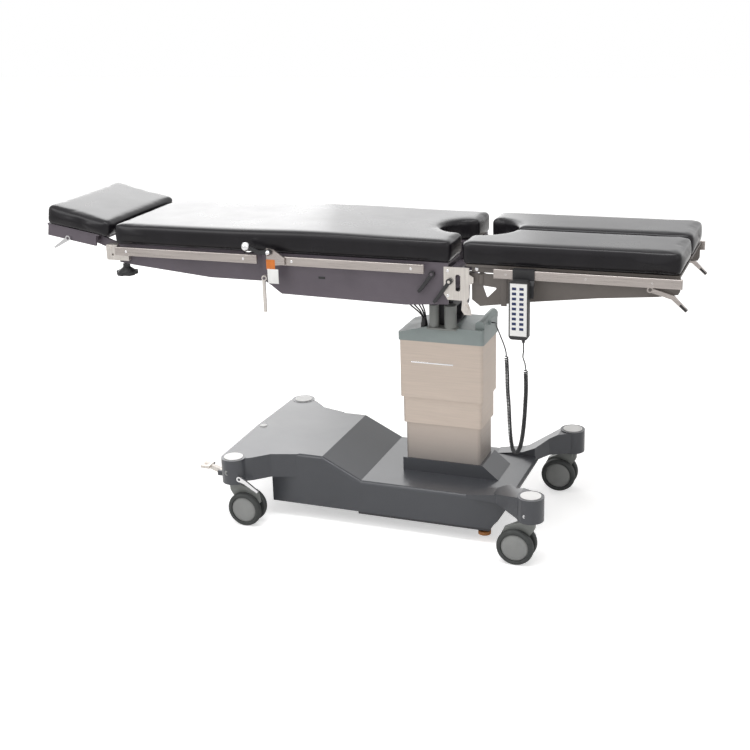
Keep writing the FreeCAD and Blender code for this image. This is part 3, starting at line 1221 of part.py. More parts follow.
cord_width = value("cord_diameter")
lead_shape = tube("cord_lead", LEAD, cord_width)
cord_feature("cord_lead", lead_shape)
cord_feature("cord_tail", tube("cord_tail", CORD_OUT, cord_width))
cord_feature("cord_coil", tube("cord_coil", COIL, value("coil_diameter")))
cord_feature("cable_bundle", tube("cable_bundle", CABLE, value("cable_diameter")))

# Write the sub-parts

doc.recompute()
for item in doc.Objects:
    for state in item.State:
        if state in ("Invalid", "Error"):
            raise SystemExit("%s is %s" % (item.Name, state))
for item in PARTS:
    if item.Shape.isNull() or not item.Shape.isValid():
        raise SystemExit("%s has no valid shape" % item.Label)
    item.Shape.exportStep("parts/%s.step" % item.Label)
print(len(PARTS), "sub-parts")
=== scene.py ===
# %% [markdown]
# An operating table stands on four casters with twin wheels. A telescopic column carries its top, which
# is split into head, back, seat and two leg sections. The solid model arrives as a frame: its pieces have
# their real sizes and places and ride on moving bodies. This script gives each piece its finish, its soft
# form and its trim.

import math

import bmesh
import bpy
from mathutils import Matrix, Vector


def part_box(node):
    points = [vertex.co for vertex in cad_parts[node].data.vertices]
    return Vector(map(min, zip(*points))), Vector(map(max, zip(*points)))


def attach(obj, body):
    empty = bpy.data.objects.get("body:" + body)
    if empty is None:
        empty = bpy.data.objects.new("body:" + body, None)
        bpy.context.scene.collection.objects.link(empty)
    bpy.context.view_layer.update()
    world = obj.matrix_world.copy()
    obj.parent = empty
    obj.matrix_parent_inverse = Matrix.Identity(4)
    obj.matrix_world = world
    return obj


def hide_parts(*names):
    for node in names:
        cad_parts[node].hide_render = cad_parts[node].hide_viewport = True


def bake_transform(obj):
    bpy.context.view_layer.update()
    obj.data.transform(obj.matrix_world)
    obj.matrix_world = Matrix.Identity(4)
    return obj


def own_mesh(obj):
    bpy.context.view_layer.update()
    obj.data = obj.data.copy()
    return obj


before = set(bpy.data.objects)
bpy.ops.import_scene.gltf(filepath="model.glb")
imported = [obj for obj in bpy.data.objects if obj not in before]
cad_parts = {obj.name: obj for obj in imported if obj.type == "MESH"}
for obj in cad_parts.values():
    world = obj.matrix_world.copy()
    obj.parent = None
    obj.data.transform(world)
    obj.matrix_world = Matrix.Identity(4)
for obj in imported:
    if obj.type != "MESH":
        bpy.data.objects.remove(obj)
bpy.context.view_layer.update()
MM = 0.001

# %% [markdown]
# The camera stands where the photographer stood, above the table and a little beyond its foot end. It
# could be placed by eye. A place and three angles that were fitted to the table's edges follow the
# photograph more closely. The lens is long, so the perspective is mild. The shift moves the frame
# sideways, because the photograph was cropped.

# %% Camera
CAMERA_PLACE = Vector((1.610, -4.125, 1.991))
CAMERA_YAW = -0.413
CAMERA_PITCH = 0.321
CAMERA_ROLL = -0.044
CAMERA_LENS = 62.45
SENSOR_WIDTH = 36
SHIFT_ACROSS = 0.0798
SHIFT_UP = -0.0084

camera_data = bpy.data.cameras.new("camera")
camera_data.lens = CAMERA_LENS
camera_data.sensor_width = SENSOR_WIDTH
camera_data.shift_x = SHIFT_ACROSS
camera_data.shift_y = SHIFT_UP
camera = bpy.data.objects.new("camera", camera_data)
bpy.context.scene.collection.objects.link(camera)
level = Vector((math.cos(CAMERA_YAW), -math.sin(CAMERA_YAW), 0))
forward = Vector((math.sin(CAMERA_YAW) * math.cos(CAMERA_PITCH),
                  math.cos(CAMERA_YAW) * math.cos(CAMERA_PITCH),
                  -math.sin(CAMERA_PITCH)))
upward = level.cross(forward)
right = level * math.cos(CAMERA_ROLL) + upward * math.sin(CAMERA_ROLL)
top = upward * math.cos(CAMERA_ROLL) - level * math.sin(CAMERA_ROLL)
turned_axes = Matrix((right, top, -forward)).transposed().to_4x4()
camera.matrix_world = Matrix.Translation(CAMERA_PLACE) @ turned_axes
bpy.context.scene.camera = camera
bpy.context.scene.view_settings.view_transform = "Standard"
print("camera at", tuple(CAMERA_PLACE), "with a lens of", CAMERA_LENS, "mm")

# %% [markdown]
# The table stands in a white studio. One plain world could light it, but a world bright enough to show
# white would also wash out the colours. So two worlds are mixed by the kind of ray. The object is lit by
# a soft one, and the camera, glossy surfaces and clear ones see a white one. That white gives the black
# covers and the gel coat their bright sheen at a flat angle.

# %% World
WORLD_LIGHT = 0.55
WORLD_COLOUR = (1, 0.985, 0.97, 1)

world = bpy.data.worlds.new("studio")
bpy.context.scene.world = world
world.use_nodes = True
sky = world.node_tree
sky.nodes.clear()
sky_out = sky.nodes.new("ShaderNodeOutputWorld")
sky_mix = sky.nodes.new("ShaderNodeMixShader")
sky_light = sky.nodes.new("ShaderNodeBackground")
sky_light.inputs["Strength"].default_value = WORLD_LIGHT
sky_light.inputs["Color"].default_value = WORLD_COLOUR
sky_seen = sky.nodes.new("ShaderNodeBackground")
sky_seen.inputs["Color"].default_value = (1, 1, 1, 1)
sky_path = sky.nodes.new("ShaderNodeLightPath")
sees_white = sky_path.outputs["Is Camera Ray"]
for kind in ("Is Glossy Ray", "Is Transmission Ray"):
    either = sky.nodes.new("ShaderNodeMath")
    either.operation = "MAXIMUM"
    sky.links.new(sees_white, either.inputs[0])
    sky.links.new(sky_path.outputs[kind], either.inputs[1])
    sees_white = either.outputs[0]
sky.links.new(sees_white, sky_mix.inputs[0])
sky.links.new(sky_light.outputs[0], sky_mix.inputs[1])
sky.links.new(sky_seen.outputs[0], sky_mix.inputs[2])
sky.links.new(sky_mix.outputs[0], sky_out.inputs[0])
print("world of", len(sky.nodes), "nodes")

# %% [markdown]
# Large soft boxes stand in for the studio's lamps. A point light would be simpler, but its small, hard
# highlights look nothing like a studio's. The wide window stands behind the table, beyond its head end,
# and puts the long sheen on the cushions and the base. The box above lights the faces that look up.

# %% Lamps


def lamp(name, place, aim, width, height, power):
    """A soft box that points at a spot on the table; sizes are in metres and the power is in watts."""
    data = bpy.data.lights.new(name, "AREA")
    data.shape = "RECTANGLE"
    data.size = width
    data.size_y = height
    data.energy = power
    item = bpy.data.objects.new(name, data)
    bpy.context.scene.collection.objects.link(item)
    turn = (Vector(aim) - Vector(place)).to_track_quat("-Z", "Y")
    item.matrix_world = Matrix.Translation(place) @ turn.to_matrix().to_4x4()
    item.visible_camera = False
    print("lamp", name, power, "W")


lamp("key", (-2.6, -3.2, 3.6), aim=(0.0, 0.0, 0.7), width=2.4, height=2.4, power=55)
lamp("fill", (3.6, -2.4, 2.2), aim=(0.3, 0.0, 0.6), width=2.6, height=2.6, power=14)
lamp("window", (-3.7, 4.2, 2.8), aim=(-0.6, 0.0, 1.2), width=3.6, height=4.4, power=79)
lamp("side_window", (-1.4, 5.1, 2.2), aim=(0.0, 0.0, 0.9), width=1.4, height=3.2, power=11)
lamp("ceiling", (0.3, -1.1, 4.2), aim=(0.2, -0.2, 0.3), width=3.2, height=1.4, power=85)

# %% [markdown]
# The floor is a wide white sheet that keeps the table's shadow. A plain grey floor would show its far
# edge against the white world. Here the camera sees the same grey with a glow added, so the sheet melts
# into the white, while the table itself gets no light from the glow.

# %% Floor
FLOOR_HALF_SIDE = 14
FLOOR_GREY = (0.86, 0.86, 0.86, 1)
FLOOR_GLOW = 0.5


def object_from(name, mesh):
    """Turn a finished bmesh into an object of the scene, at the origin."""
    data = bpy.data.meshes.new(name)
    mesh.to_mesh(data)
    mesh.free()
    item = bpy.data.objects.new(name, data)
    bpy.context.scene.collection.objects.link(item)
    return item


floor_mesh = bmesh.new()
bmesh.ops.create_grid(floor_mesh, x_segments=1, y_segments=1, size=FLOOR_HALF_SIDE)
floor = object_from("floor", floor_mesh)
floor_finish = bpy.data.materials.new("floor_white")
floor_finish.use_nodes = True
floor_tree = floor_finish.node_tree
floor_shader = floor_tree.nodes["Principled BSDF"]
floor_shader.inputs["Base Color"].default_value = FLOOR_GREY
floor_shader.inputs["Roughness"].default_value = 0.9
floor_glow = floor_tree.nodes.new("ShaderNodeEmission")
floor_glow.inputs["Strength"].default_value = FLOOR_GLOW
floor_add = floor_tree.nodes.new("ShaderNodeAddShader")
floor_mix = floor_tree.nodes.new("ShaderNodeMixShader")
floor_path = floor_tree.nodes.new("ShaderNodeLightPath")
floor_tree.links.new(floor_shader.outputs[0], floor_add.inputs[0])
floor_tree.links.new(floor_glow.outputs[0], floor_add.inputs[1])
floor_tree.links.new(floor_path.outputs["Is Camera Ray"], floor_mix.inputs[0])
floor_tree.links.new(floor_shader.outputs[0], floor_mix.inputs[1])
floor_tree.links.new(floor_add.outputs[0], floor_mix.inputs[2])
floor_tree.links.new(floor_mix.outputs[0], floor_tree.nodes["Material Output"].inputs[0])
floor.data.materials.append(floor_finish)
print("floor", 2 * FLOOR_HALF_SIDE, "m wide")

# %% [markdown]
# No real surface is one flat colour. Each finish here is a base colour that a soft noise varies, a
# roughness that a second noise varies, and a bump for what the hand would feel. The nodes could be placed
# one by one for each material. A small class lays them down in short calls instead, so that a finish
# reads as a recipe.

# %% Finish helpers
NOISE_START = 0.3
NOISE_STOP = 0.7


class Finish:
    """A material, with short ways to vary its colour, its roughness and its surface."""

    def __init__(self, name, colour, roughness, metallic=0.0):
        """Start from one even colour, roughness and share of metal."""
        self.material = bpy.data.materials.new(name)
        self.material.use_nodes = True
        self.tree = self.material.node_tree
        self.shader = self.tree.nodes["Principled BSDF"]
        self.colour = colour
        self.shader.inputs["Base Color"].default_value = (*colour, 1)
        self.shader.inputs["Roughness"].default_value = roughness
        self.shader.inputs["Metallic"].default_value = metallic
        self.place = self.tree.nodes.new("ShaderNodeTexCoord").outputs["Object"]
        self.normal = None
        print("finish", name)

    def noise(self, scale, stretch=(1, 1, 1), detail=4.0):
        """A noise over the piece; a stretch below 1 draws it out along that axis."""
        mapping = self.tree.nodes.new("ShaderNodeMapping")
        mapping.inputs["Scale"].default_value = stretch
        self.tree.links.new(self.place, mapping.inputs["Vector"])
        texture = self.tree.nodes.new("ShaderNodeTexNoise")
        texture.inputs["Scale"].default_value = scale
        texture.inputs["Detail"].default_value = detail
        texture.inputs["Roughness"].default_value = 0.6
        self.tree.links.new(mapping.outputs[0], texture.inputs["Vector"])
        return texture.outputs["Fac"]

    def cells(self, scale):
        """Small cells like the grain of a coated cloth, this many to the metre."""
        texture = self.tree.nodes.new("ShaderNodeTexVoronoi")
        texture.inputs["Scale"].default_value = scale
        self.tree.links.new(self.place, texture.inputs["Vector"])
        return texture.outputs["Distance"]

    def colours_by(self, value, low_colour, high_colour, start=0.0, stop=1.0):
        """Blend the base colour between two colours, as a value goes from start to stop."""
        ramp = self.tree.nodes.new("ShaderNodeValToRGB")
        ramp.color_ramp.elements[0].position = start
        ramp.color_ramp.elements[1].position = stop
        ramp.color_ramp.elements[0].color = (*low_colour, 1)
        ramp.color_ramp.elements[1].color = (*high_colour, 1)
        self.tree.links.new(value, ramp.inputs[0])
        self.tree.links.new(ramp.outputs[0], self.shader.inputs["Base Color"])

    def spread(self, value, start, stop, low=0.0, high=1.0):
        """Map a value between start and stop to a number between low and high."""
        node = self.tree.nodes.new("ShaderNodeMapRange")
        node.inputs["From Min"].default_value = start
        node.inputs["From Max"].default_value = stop
        node.inputs["To Min"].default_value = low
        node.inputs["To Max"].default_value = high
        self.tree.links.new(value, node.inputs["Value"])
        return node.outputs[0]

    def tint(self, value, low, high):
        """Vary the colour between two shares of the base."""
        darker = [min(1, part * low) for part in self.colour]
        lighter = [min(1, part * high) for part in self.colour]
        self.colours_by(value, darker, lighter, NOISE_START, NOISE_STOP)

    def fade(self, low, high, low_colour, high_colour):
        """Blend the colour upwards from one height to another, in metres."""
        axes = self.tree.nodes.new("ShaderNodeSeparateXYZ")
        self.tree.links.new(self.place, axes.inputs[0])
        self.colours_by(self.spread(axes.outputs["Z"], low, high), low_colour, high_colour)

    def gloss(self, value, low, high):
        """Vary the roughness between two numbers."""
        rough = self.spread(value, NOISE_START, NOISE_STOP, low, high)
        self.tree.links.new(rough, self.shader.inputs["Roughness"])

    def bump(self, value, strength, distance):
        """Raise the surface by a value, up to a distance in metres; a second call adds to the first."""
        node = self.tree.nodes.new("ShaderNodeBump")
        node.inputs["Strength"].default_value = strength
        node.inputs["Distance"].default_value = distance
        self.tree.links.new(value, node.inputs["Height"])
        if self.normal is not None:
            self.tree.links.new(self.normal, node.inputs["Normal"])
        self.normal = node.outputs[0]
        self.tree.links.new(self.normal, self.shader.inputs["Normal"])

    def coat(self, weight, roughness, ior):
        """Lay a clear coat over the finish."""
        self.shader.inputs["Coat Weight"].default_value = weight
        self.shader.inputs["Coat Roughness"].default_value = roughness
        self.shader.inputs["Coat IOR"].default_value = ior


print("a finish has", ", ".join(way for way in vars(Finish) if not way.startswith("_")))

# %% [markdown]
# The cushions wear a black cloth with a smooth, wipeable coating. Its grain is finer than a millimetre,
# and it creases softly where hands press it. A glossy black would look wet, and a matt one dead. So the
# cloth itself is dull with a low index of refraction, and a clear coat adds the sheen that turns almost
# white where the eye meets the top at a flat angle.

# %% Cushion cover
cover = Finish("cushion_cover", (0.011, 0.010, 0.012), 0.3)
cover.tint(cover.noise(9, detail=6), 0.8, 1.25)
cover.gloss(cover.noise(7, detail=2), 0.26, 0.32)
cover.bump(cover.noise(5, (1, 1, 0.4), detail=1), 0.06, 0.002)
cover.bump(cover.cells(1400), 0.05, 0.0003)
cover.shader.inputs["IOR"].default_value = 1.23
cover.coat(1.0, 0.24, 1.23)

# %% [markdown]
# Rails, brackets and covers are stainless steel, brushed in one direction. Brush marks could be drawn as
# scratches in an image. A noise that is drawn out thirty to fifty times along the grain does the same
# from formulas alone, and it drives both the gloss and a faint bump. The column's panels are brushed
# crosswise. The lowest one carries a painted reflection of the dark base in its colour, so it darkens
# downwards.

# %% Stainless steel
steel_rail = Finish("rail_steel", (0.50, 0.455, 0.43), 0.3, 0.92)
rail_marks = steel_rail.noise(420, (0.02, 1, 1), detail=3)
steel_rail.tint(rail_marks, 0.88, 1.05)
steel_rail.gloss(rail_marks, 0.24, 0.42)
steel_rail.bump(rail_marks, 0.12, 0.0002)

steel_plate = Finish("bracket_steel", (0.70, 0.66, 0.62), 0.32, 0.9)
plate_marks = steel_plate.noise(300, (1, 1, 0.03), detail=3)
steel_plate.tint(plate_marks, 0.86, 1.06)
steel_plate.gloss(plate_marks, 0.26, 0.44)
steel_plate.bump(steel_plate.noise(60), 0.1, 0.0004)

steel_column = Finish("column_steel", (0.62, 0.53, 0.46), 0.4, 0.55)
column_marks = steel_column.noise(260, (0.03, 0.03, 1), detail=3)
steel_column.tint(column_marks, 0.94, 1.05)
steel_column.gloss(column_marks, 0.34, 0.48)
steel_column.bump(column_marks, 0.1, 0.0002)
steel_column.bump(steel_column.noise(7, detail=1), 0.08, 0.004)

lower_steel_painted_reflection = Finish("lower_column_steel_painted_reflection", (0.41, 0.36, 0.33), 0.42, 0.5)
lower_marks = lower_steel_painted_reflection.noise(260, (0.03, 0.03, 1), detail=3)
# Painted reflection of the dark base: the colour is darker towards the bottom and lighter above.
lower_steel_painted_reflection.fade(0.22, 0.37, (0.34, 0.31, 0.29), (0.58, 0.50, 0.44))
lower_steel_painted_reflection.gloss(lower_marks, 0.36, 0.5)
lower_steel_painted_reflection.bump(lower_marks, 0.1, 0.0002)

chrome = Finish("bright_chrome", (0.83, 0.83, 0.84), 0.08, 1.0)
chrome.gloss(chrome.noise(40), 0.05, 0.16)

# %% [markdown]
# The frames are powder coated: a dry paint powder is melted on, and it flows into a fine orange peel. A
# flat paint would look like paper, so the bump is a noise of about a millimetre, and slower noises make
# handled patches a little lighter or glossier. Five colours share the recipe, so it is one function.

# %% Powder coats


def powder(name, colour, roughness):
    """A powder coat of one colour."""
    finish = Finish(name, colour, roughness)
    finish.tint(finish.noise(6, detail=5), 0.9, 1.12)
    finish.gloss(finish.noise(22), roughness - 0.06, roughness + 0.08)
    finish.bump(finish.noise(700, detail=1), 0.12, 0.0002)
    return finish


paint_frame = powder("frame_powder", (0.108, 0.092, 0.110), 0.42)
paint_leg = powder("leg_frame_powder", (0.130, 0.115, 0.105), 0.42)
paint_cap = powder("cap_powder", (0.285, 0.33, 0.325), 0.38)
paint_dark = powder("dark_powder", (0.045, 0.045, 0.05), 0.45)
paint_fork = powder("caster_grey", (0.22, 0.23, 0.22), 0.4)

# %% [markdown]
# The base shell is moulded and sprayed with a grey gel coat, polished enough to mirror the room on its
# top. A single glossy layer would mirror too sharply. So the grey is half dull, a clear coat lies on it,
# and broad noises bend the reflection a little and vary the gloss, as on a moulding that has been wiped
# for years.

# %% Gel coat of the base
gel = Finish("base_gel_coat", (0.062, 0.065, 0.073), 0.34)
gel.tint(gel.noise(4, detail=3), 0.95, 1.07)
gel.gloss(gel.noise(5, detail=3), 0.30, 0.38)
gel.bump(gel.noise(3, detail=1), 0.05, 0.003)
gel.bump(gel.noise(240, detail=1), 0.02, 0.0002)
gel.shader.inputs["IOR"].default_value = 1.3
gel.coat(1.0, 0.25, 1.35)

# %% [markdown]
# Handles, tyres, wheel hubs and cords are plastics and rubber. They differ in the size of their grain
# more than in colour: a moulded handle has a fine spark-eroded texture, rubber a coarser one, and a
# cord's jacket almost none. Each gets a noise at the scale of its own grain.

# %% Plastics and rubber
plastic = Finish("moulded_black", (0.022, 0.022, 0.024), 0.42)
plastic.gloss(plastic.noise(30), 0.36, 0.5)
plastic.bump(plastic.noise(1500, detail=1), 0.15, 0.0002)

rubber = Finish("tyre_rubber", (0.035, 0.038, 0.037), 0.62)
rubber.tint(rubber.noise(40), 0.85, 1.3)
rubber.bump(rubber.noise(600, detail=2), 0.2, 0.0003)

hub_plastic = Finish("hub_grey", (0.245, 0.25, 0.245), 0.42)
hub_plastic.tint(hub_plastic.noise(18), 0.92, 1.08)
hub_plastic.bump(hub_plastic.noise(900, detail=1), 0.1, 0.0002)

cord_jacket = Finish("cord_jacket", (0.02, 0.02, 0.022), 0.4)
cord_jacket.tint(cord_jacket.noise(60), 0.8, 1.4)
cord_jacket.bump(cord_jacket.noise(2000, detail=1), 0.1, 0.0001)

# %% [markdown]
# The small coloured pieces are a white laminate on the keypad, the card and the base's discs, navy keys,
# an orange tag and two amber feet. Each is too small to show a pattern, so a faint mottle is enough to
# keep it from looking like a flat patch of paint.

# %% Small coloured pieces
white_sheet = Finish("white_laminate", (0.80, 0.80, 0.79), 0.35)
white_sheet.tint(white_sheet.noise(25), 0.95, 1.04)
white_sheet.bump(white_sheet.noise(500, detail=1), 0.04, 0.0002)

key_navy = Finish("key_navy", (0.012, 0.022, 0.085), 0.38)
key_navy.tint(key_navy.noise(200), 0.8, 1.3)

tag_orange = Finish("tag_orange", (0.66, 0.19, 0.03), 0.45)
tag_orange.tint(tag_orange.noise(90), 0.88, 1.1)

foot_amber = Finish("foot_amber", (0.34, 0.13, 0.03), 0.4)
foot_amber.tint(foot_amber.noise(50), 0.8, 1.15)
foot_amber.gloss(foot_amber.noise(80), 0.32, 0.5)

# %% [markdown]
# Every rigid node of the solid model already has the shape of the real piece. It could be modelled again
# here, but nothing would be gained, so it keeps its mesh and only takes one of the finishes.

# %% Finish the solid nodes
CORNERS = ("head_right", "head_left", "foot_right", "foot_left")
NODE_FINISHES = {
    paint_frame: ["seat_frame", "back_frame", "head_frame"],
    paint_leg: ["leg_frame_right", "leg_frame_left", "leg_yoke_right", "leg_yoke_left"],
    steel_rail: ["back_rails", "seat_rails", "leg_rail_right", "leg_rail_left", "leg_lever_right",
                 "leg_lever_left"],
    steel_plate: ["leg_hinge_brackets", "head_clamps", "drop_lever", "brake_pedal"],
    steel_column: ["column_cover_upper", "column_cover_middle"],
    lower_steel_painted_reflection: ["column_cover_lower"],
    chrome: ["head_lever", "lift_ram", "caster_brake_lever"],
    paint_cap: ["column_cap"],
    paint_dark: ["lift_cylinder", "head_yoke", "cardan_block", "base_plate"],
    paint_fork: ["tilt_motors"] + ["caster_fork_" + corner for corner in CORNERS],
    gel: ["base_cover"],
    white_sheet: ["corner_discs", "handset_keypad"],
    foot_amber: ["lock_feet"],
    plastic: ["cable_gland", "handset_shell", "back_release_lever", "star_knob_right", "star_knob_left",
              "clamp_lever_a_right", "clamp_lever_a_left", "clamp_lever_b_right", "clamp_lever_b_left"],
}
for finish, nodes in NODE_FINISHES.items():
    for node in nodes:
        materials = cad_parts[node].data.materials
        materials.clear()
        materials.append(finish.material)
print(sum(len(nodes) for nodes in NODE_FINISHES.values()), "solid nodes finished")

# %% [markdown]
# The handset hangs on a curly cord. A plain tail leaves the handset, the curl drops in a narrow loop and
# rises again, and a thin lead runs on to the column. The route could come from a simulation, but a few
# given points follow the photograph. They are in millimetres.

# %% Route of the handset cord
TAIL = [(648, -291, 749.7), (648, -291, 738), (650, -293, 722), (645, -292, 704), (653, -286, 682),
        (654, -285, 664.4)]
COIL = [(654, -285, 664), (656, -282, 606), (653, -278, 546), (649, -274, 486), (642, -266, 428),
        (632, -255, 382), (617, -240, 352), (600, -226, 352), (589, -214, 388), (582, -204, 440),
        (578, -198, 498), (572, -195, 556), (570, -191, 614), (566, -190, 672)]
LEAD = [(566, -190, 672.4), (565, -189, 684), (553, -173, 703), (537, -148, 717), (515, -106, 730),
        (495, -62, 734), (490, -22, 727), (470.4, -22, 726)]
print("route of", len(TAIL + COIL + LEAD), "points")

# %% [markdown]
# A cord could be drawn as straight runs with rounded corners, but that looks like bent wire. A NURBS curve
# with the route's points as its control points hangs as smoothly as a real cord, and its own points can be
# read back once it is made a mesh. The order of the spline is set after its points are added, because set
# before, it stays at 2, which gives straight runs.

# %% Smooth curve of a route
ROUTE_STEPS = 12


def metres(points):
    """Points in millimetres, as points in metres."""
    return [Vector(point) * MM for point in points]


def spline_object(points, resolution, width=0.0, sides=0):
    """A smooth open NURBS curve with these control points; a width makes it a round tube."""
    data = bpy.data.curves.new("guide", "CURVE")
    data.dimensions = "3D"
    data.bevel_depth = width / 2
    data.bevel_resolution = sides
    data.resolution_u = resolution
    data.use_fill_caps = True
    spline = data.splines.new("NURBS")
    spline.points.add(len(points) - 1)
    for spot, point in zip(spline.points, points):
        spot.co = (*point, 1)
    spline.order_u = 3
    spline.use_endpoint_u = True
    item = bpy.data.objects.new("guide", data)
    bpy.context.scene.collection.objects.link(item)
    return item


def points_along(points, resolution):
    """The points on the smooth curve of a route."""
    guide = spline_object(points, resolution)
    mesh = bpy.data.meshes.new_from_object(guide)
    line = [vertex.co.copy() for vertex in mesh.vertices]
    bpy.data.objects.remove(guide)
    return line


def length_of(line):
    """The length of a line of points."""
    return sum((b - a).length for a, b in zip(line, line[1:]))


coil_line = points_along(metres(COIL), ROUTE_STEPS)
print("the curl hangs along", round(length_of(coil_line), 3), "m")

# %% [markdown]
# The curl is a helix about the hanging route. A Screw modifier makes straight springs only, and bending
# one along a curve squeezes its turns. So a loop walks along the route and turns a short arm about it,
# and the turns stay even round the bend. The arm grows over the first turn and dies over the last, and
# these turns are drawn out, so that the curl runs into the plain cord without a kink.

# %% Curl about the hanging route
CORD_WIDTH = 0.0042
CURL_WIDTH = 0.0145
CURL_PITCH = 0.0050
CURL_STEPS = 14
END_STRETCH = 1.4


def curl(line, radius, pitch, steps):
    """A helix about a line, with its first and last turns drawn out."""
    total = length_of(line)
    turns = round(total / pitch) - 2
    count = turns * steps
    reach = [0.0]
    for n in range(count):
        first = END_STRETCH * math.exp(-n / steps)
        last = END_STRETCH * math.exp(-(count - n) / steps)
        reach.append(reach[-1] + 1 + first + last)
    points = []
    walked = 0.0
    index = 0
    side = Vector((0, 1, 0))
    for n in range(count + 1):
        target = total * reach[n] / reach[-1]
        while index < len(line) - 2 and walked + (line[index + 1] - line[index]).length < target:
            walked += (line[index + 1] - line[index]).length
            index += 1
        along = (line[index + 1] - line[index]).normalized()
        side = (side - along * side.dot(along)).normalized()
        spot = line[index] + along * (target - walked)
        grow = min(1.0, n / steps, (count - n) / steps)
        angle = math.tau * n / steps
        arm = side * math.cos(angle) + along.cross(side) * math.sin(angle)
        points.append(spot + arm * radius * grow)
    return points


helix = curl(coil_line, (CURL_WIDTH - CORD_WIDTH) / 2, CURL_PITCH, CURL_STEPS)
print("turns", len(helix) // CURL_STEPS)

# %% [markdown]
# The tail, the curl and the lead are one continuous cord. It could stay a curve, but it becomes a mesh,
# with its centreline beside it. It rides with the handset. When the column comes down, the hanging loop
# would reach the base.

# %% Handset cord
TUBE_STEPS = 2


def tube(name, points, width, sides):
    """A round cord along a smooth curve, as a mesh, with the centreline that it follows."""
    path = points_along(points, TUBE_STEPS)
    guide = spline_object(points, TUBE_STEPS, width, sides)
    item = bpy.data.objects.new(name, bpy.data.meshes.new_from_object(guide))
    bpy.data.objects.remove(guide)
    item.data.materials.clear()
    item.data.materials.append(cord_jacket.material)
    item.data.shade_smooth()
    bpy.context.scene.collection.objects.link(item)
    print(name, "is", round(length_of(path), 3), "m long")
    return item, path


cord_points = metres(TAIL[:-1]) + helix + metres(LEAD[1:])
cord, cord_path = tube("handset_cord", cord_points, CORD_WIDTH, 1)
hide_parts("cord_tail", "cord_coil", "cord_lead")
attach(cord, "handset")
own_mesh(cord)

# %% [markdown]
# The cables of the tilt motors leave the cap through one rubber boot and fan out to the box under the
# seat. They are thin and a little stiff, so each bows by itself and no two are alike. The seat tilts
# about two crossed pins. A single tube would have to follow both at once, so each cable is made as a
# lower half and an upper half.

# %% Cables to the seat
CABLE_ROUTES = [
    [(248, -72, 742.8), (248, -72, 758), (238, -100, 798), (225, -117, 832), (222, -120, 848),
     (222, -120, 861.7)],
    [(244, -74, 742.8), (243, -78, 760), (228, -106, 792), (206, -120, 826), (203, -122, 844),
     (203, -122, 861.7)],
    [(252, -70, 742.8), (254, -76, 762), (248, -100, 804), (241, -116, 836), (240, -118, 850),
     (240, -118, 861.7)],
    [(246, -78, 742.8), (243, -86, 758), (221, -114, 790), (193, -127, 820), (189, -126, 842),
     (190, -125, 861.7)],
]
CABLE_WIDTH = 0.0052
for number, route in enumerate(CABLE_ROUTES):
    line = points_along(metres(route), ROUTE_STEPS)
    middle = len(line) // 2
    lower, lower_path = tube("seat_cable_low_%d" % number, line[:middle + 1], CABLE_WIDTH, 3)
    upper, upper_path = tube("seat_cable_high_%d" % number, line[middle:], CABLE_WIDTH, 3)
    if number == 0:
        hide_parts("cable_bundle")
    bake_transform(lower)
    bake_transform(upper)

# %% [markdown]
# No real edge is perfectly sharp, and a sharp one gives a computer drawing away. So every block starts as
# a cube that is stretched between two corners, and a bevel with a few round steps breaks its edges. The
# same two helpers serve the cushions, the keys and the small plates.

# %% Rounded blocks
BEVEL_STEPS = 3


def round_edges(mesh, edges, radius, segments=BEVEL_STEPS):
    """Bevel these edges of a bmesh with a round profile."""
    bmesh.ops.bevel(mesh, geom=edges, offset=radius, segments=segments, profile=0.5, affect="EDGES",
                    material=-1)


def block_mesh(low, high):
    """A bmesh block between its lowest and its highest corner."""
    mesh = bmesh.new()
    bmesh.ops.create_cube(mesh, size=1)
    bmesh.ops.scale(mesh, vec=[b - a for a, b in zip(low, high)], verts=mesh.verts)
    bmesh.ops.translate(mesh, vec=[(a + b) / 2 for a, b in zip(low, high)], verts=mesh.verts)
    return mesh


print("edges are rounded in", BEVEL_STEPS, "steps")

# %% [markdown]
# A cushion is a foam block in a tight seamed cover. Sculpting one by hand would take long, so it starts
# as a slab with rounded upright corners. A round cutter then bites out the notch between the legs. A
# Boolean modifier does this more cleanly than pulling points about, and its result is kept as the mesh.

# %% Slab of a cushion
CORNER_STEPS = 6
NOTCH_STEPS = 72
CUTTER_HEIGHT = 0.4


def apply_modifiers(item):
    """Keep what the modifiers show as the object's own mesh."""
    graph = bpy.context.evaluated_depsgraph_get()
    data = bpy.data.meshes.new_from_object(item.evaluated_get(graph))
    item.modifiers.clear()
    item.data = data


def slab(x, y, z, corner, notch):
    """A block with rounded upright corners and, where notch is (x, y, radius), a round bite."""
    mesh = block_mesh(*zip(x, y, z))
    uprights = [edge for edge in mesh.edges if abs(edge.verts[0].co.z - edge.verts[1].co.z) > 0.01]
    round_edges(mesh, uprights, corner, CORNER_STEPS)
    item = object_from("slab", mesh)
    if notch:
        place = Matrix.Translation((notch[0], notch[1], (z[0] + z[1]) / 2))
        cutter_mesh = bmesh.new()
        bmesh.ops.create_cone(cutter_mesh, cap_ends=True, segments=NOTCH_STEPS, radius1=notch[2],
                              radius2=notch[2], depth=CUTTER_HEIGHT, matrix=place)
        cutter = object_from("cutter", cutter_mesh)
        bite = item.modifiers.new("notch", "BOOLEAN")
        bite.operation = "DIFFERENCE"
        bite.object = cutter
        apply_modifiers(item)
        bpy.data.objects.remove(cutter)
    return item


print("corners are rounded in", CORNER_STEPS, "steps")

# %% [markdown]
# The cover is sewn along the rims between its sides and its flat faces, and the seams pull these rims
# round. Picking each edge by hand would break when a size changes, so the rims are found: edges that lie
# level at the top or the bottom and where two faces meet at a wide angle.

# %% Soft rims
RIM_STEPS = 4
RIM_ANGLE = 0.7
SAME_HEIGHT = 1e-4


